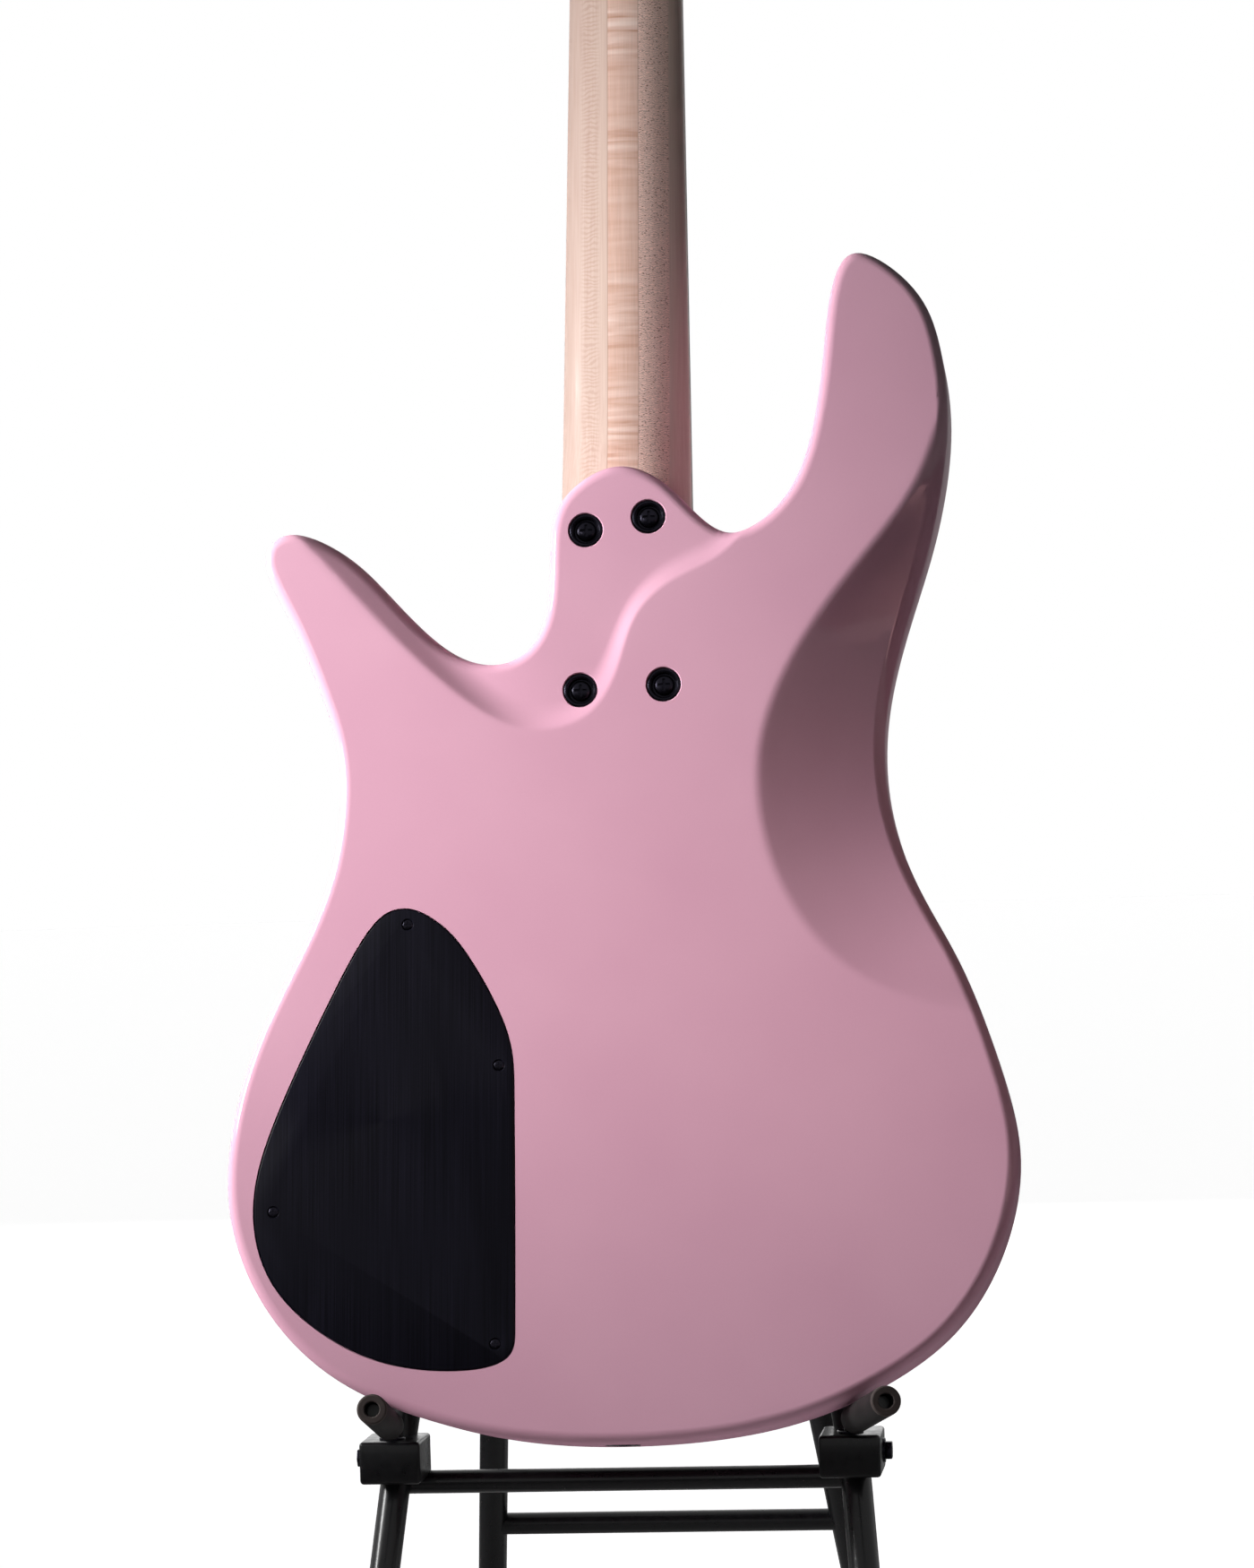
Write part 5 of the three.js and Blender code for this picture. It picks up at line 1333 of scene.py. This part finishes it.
def hinge_rod():
    """The rod that both pairs of legs hang on, with a head at either end."""
    half = [(0, 0), (4, 0), (4, 69.4), (5.6, 69.4), (5.6, 70.6), (5.2, 71.3), (3.6, 71.6), (0, 71.65)]
    middle = (0, 0, HINGE_HEIGHT)
    return gathered(*(between(turned(half, 32), middle, (side, 0, HINGE_HEIGHT)) for side in (-1, 1)))


def bracket():
    """The block bored for an arm's pin."""
    return combined(block((26, 32, 18), (0, 6, 0), 1.6, 4), cylinder(PIN_RADIUS + 0.3, -10, 10, 32))


def bolt(side):
    """The bolt and washer on a bracket's outer side."""
    radius = 4.2
    head = slab(circle(radius, 6), 0, 3)
    soften(head, sharp_edges(head, 50), 0.4, 2)
    head = gathered(head, cylinder(radius + 1, -1, 0.1, 28))
    return between(head, (side * 13.8, 10, 0), (side * 30, 10, 0))


def arm_padding(way):
    """A sleeve along an arm, with a skin and a cut end."""
    end = ARM_REACH + 10
    profile = [
        (3.1, 16.4), (3.4, 16), (5.4, 16), (6.0, 16.3), (6.2, 17), (6.2, end - 1.2), (6.0, end - 0.4),
        (5.4, end), (3.5, end), (3.1, end - 0.3), (3.1, 16.4),
    ]
    padding = turned(profile, 48)
    for face in padding.faces:
        face.material_index = int(face.calc_center_median().z > end - 1)
    return between(padding, (0, 0, 0), way)


def rest_padding(side):
    """The cap that pads the top of a front leg."""
    top, bend = mirrored(LEG_TOP, side), mirrored(LEG_BEND, side)
    tip = (top - bend).normalized()
    profile = [
        (6.8, 0.5), (7.1, 0), (7.5, 0.6), (7.5, 56), (7.1, 57.2), (6.2, 58), (0, 58), (0, 55.3),
        (6.8, 55.3), (6.8, 0.5),
    ]
    return between(turned(profile, 48), top - tip * 55, top)


def boot(start, stop):
    """A foot set flat on the floor under the end of a leg."""
    profile = [
        (0, 0), (10.6, 0), (11.6, 0.6), (12, 1.6), (11.8, 3), (11.2, 3.6), (11.6, 4.4), (11.2, 16.4),
        (10.6, 17.6), (9.6, 18), (0, 18),
    ]
    return combined(moved(turned(profile, 48), stop.x, stop.y), tube([start, stop], LEG_RADIUS + 0.3))


ARM_COLLAR = [(3.6, 9.2), (5.6, 9.2), (5.6, 9.8), (5.2, 10.1), (3.6, 10.1), (3.6, 9.2)]

piece("front_legs", front_frame(), ENAMEL, "front_frame", "front_frame", STAND, smooth=40)
for name, side in (("left", -1), ("right", 1)):
    pin = Vector(joints[f"{name}_arm_swing"]["pos_m"])
    at_pin = Matrix.Translation((pin.x, pin.y, KNEE.z * MM)) @ Matrix.Scale(MM, 4)
    piece(f"arm_bracket_{name}", bracket(), ENAMEL, (), "front_frame", at_pin)
    piece(f"bracket_bolt_{name}", bolt(side), BLACK_NICKEL, (), "front_frame", at_pin)

    rise, swing = math.radians(ARM_RISE), math.radians(ARM_SWING[name])
    outward = Vector((math.sin(swing), -math.cos(swing), 0))
    way = outward * math.cos(rise) + Vector((0, 0, math.sin(rise)))
    foot_of_pin = Vector((0, 0, (KNEE.z - 9) - pin.z / MM))
    arm = tube([foot_of_pin, (0, 0, 0), way * ARM_REACH], PIN_RADIUS, 6, 5)
    rider, at_arm = f"{name}_arm", Matrix.Translation(pin) @ Matrix.Scale(MM, 4)
    piece(f"rest_arm_{name}", arm, ENAMEL, f"arm_{name}", rider, at_arm, smooth=50)
    piece(f"arm_collar_{name}", turned(ARM_COLLAR, 32), BLACK_NICKEL, (), "front_frame", at_pin)
    skins = (PADDING_SKIN, RUBBER)
    piece(f"arm_padding_{name}", arm_padding(way), skins, f"arm_sleeve_{name}", rider, at_arm)
    piece(f"rest_padding_{name}", rest_padding(side), RUBBER, f"rest_sleeve_{name}", "front_frame", STAND)
    for end, start, stop in (("front", KNEE, FRONT_FOOT), ("rear", REAR_TOP, REAR_FOOT)):
        shape = boot(mirrored(start, side), mirrored(stop, side))
        piece(f"{end}_boot_{name}", shape, RUBBER, f"{end}_foot_{name}", f"{end}_frame", STAND)

piece("rear_legs", rear_frame(), ENAMEL, "rear_frame", "rear_frame", STAND, smooth=40)
piece("hinge_pin", hinge_rod(), BLACK_NICKEL, "hinge_rod", "front_frame", STAND, smooth=50)


# ---------------------------------------------------------------- studio
# name, height aimed at on the guitar, degrees round and up, distance, width, height, spread, power, colour
LAMPS = [
    ("key", 248, -71, 15, 1000, 300, 360, 56, 3.0),
    ("neck", 780, -68, 0, 800, 120, 500, 36, 0.26),
    ("strip", 700, -32, 0, 900, 50, 620, 20, 0.1),
    ("warm", 215, 45, -5, 900, 300, 200, 26, 0.03, (1, 0.5, 0.5)),
    ("head", 1110, -25, 10, 900, 500, 300, 34, 0.35),
    ("front", 280, 180, 25, 2400, 1800, 1800, 180, 8),
]


def area_lamp(name, aimed_at, azimuth, climb, distance, width, height, spread, power, colour=(1, 1, 1)):
    lamp = bpy.data.lights.new(name, "AREA")
    lamp.shape, lamp.size, lamp.size_y, lamp.energy = "RECTANGLE", width * MM, height * MM, power
    lamp.spread, lamp.color = math.radians(spread), colour
    holder = bpy.data.objects.new(name, lamp)
    bpy.context.scene.collection.objects.link(holder)
    turn, rise = math.radians(azimuth), math.radians(climb)
    way = Vector((math.sin(turn) * math.cos(rise), math.sin(rise), math.cos(turn) * math.cos(rise)))
    lit = Vector((0, aimed_at, 0))
    holder.location = GUITAR @ (lit + way * distance)
    aim = GUITAR @ lit - holder.location
    holder.rotation_euler = aim.to_track_quat("-Z", "Y").to_euler()


def white_surroundings():
    """A world that is white to the camera, in reflections and through glass, and hardly lights anything."""
    world = bpy.data.worlds.new("studio")
    bpy.context.scene.world = world
    world.use_nodes = True
    rays = node(world, "LightPath").outputs
    mirrored_rays = reckoned(world, rays["Is Glossy Ray"], rays["Is Transmission Ray"], "MAXIMUM")
    seen = reckoned(world, rays["Is Camera Ray"], mirrored_rays, "MAXIMUM")
    background = world.node_tree.nodes["Background"]
    feed(world, background, Strength=level(world, seen, 0.01, 1.0))
    background.inputs["Color"].default_value = (1, 1, 1, 1)


def pale_floor():
    made, shader = finish(
        "pale_floor", Roughness=0.6, Specular_IOR_Level=0.2, Emission_Color=(1, 1, 1, 1)
    )
    speckle = noise(made, node(made, "TexCoord").outputs["Object"], 40)
    seen = node(made, "LightPath").outputs["Is Camera Ray"]
    colour = ramp(made, speckle, (0.3, 0.80), (0.7, 0.84))
    feed(made, shader, Base_Color=colour, Emission_Strength=level(made, seen, 0, 0.84))
    bm = bmesh.new()
    bmesh.ops.create_circle(bm, cap_ends=True, segments=96, radius=14)
    floor = loose_object(bm, "studio_floor")
    floor.data.materials.append(made)


def camera():
    lens = bpy.data.cameras.new("camera")
    lens.sensor_width, lens.lens, lens.clip_start, lens.clip_end = 36, 114.05, 0.1, 60
    holder = bpy.data.objects.new("camera", lens)
    bpy.context.scene.collection.objects.link(holder)
    place = GUITAR @ Matrix.Scale(1 / MM, 4)
    turn = Euler([math.radians(a) for a in (9.918, 6.625, -0.150)]).to_matrix().to_4x4()
    holder.matrix_world = place @ Matrix.Translation(Vector((242.42, -85.55, 2054.8)) * MM) @ turn
    bpy.context.scene.camera = holder


bpy.context.scene.view_settings.view_transform = "Standard"
white_surroundings()
pale_floor()
for lamp in LAMPS:
    area_lamp(*lamp)
camera()
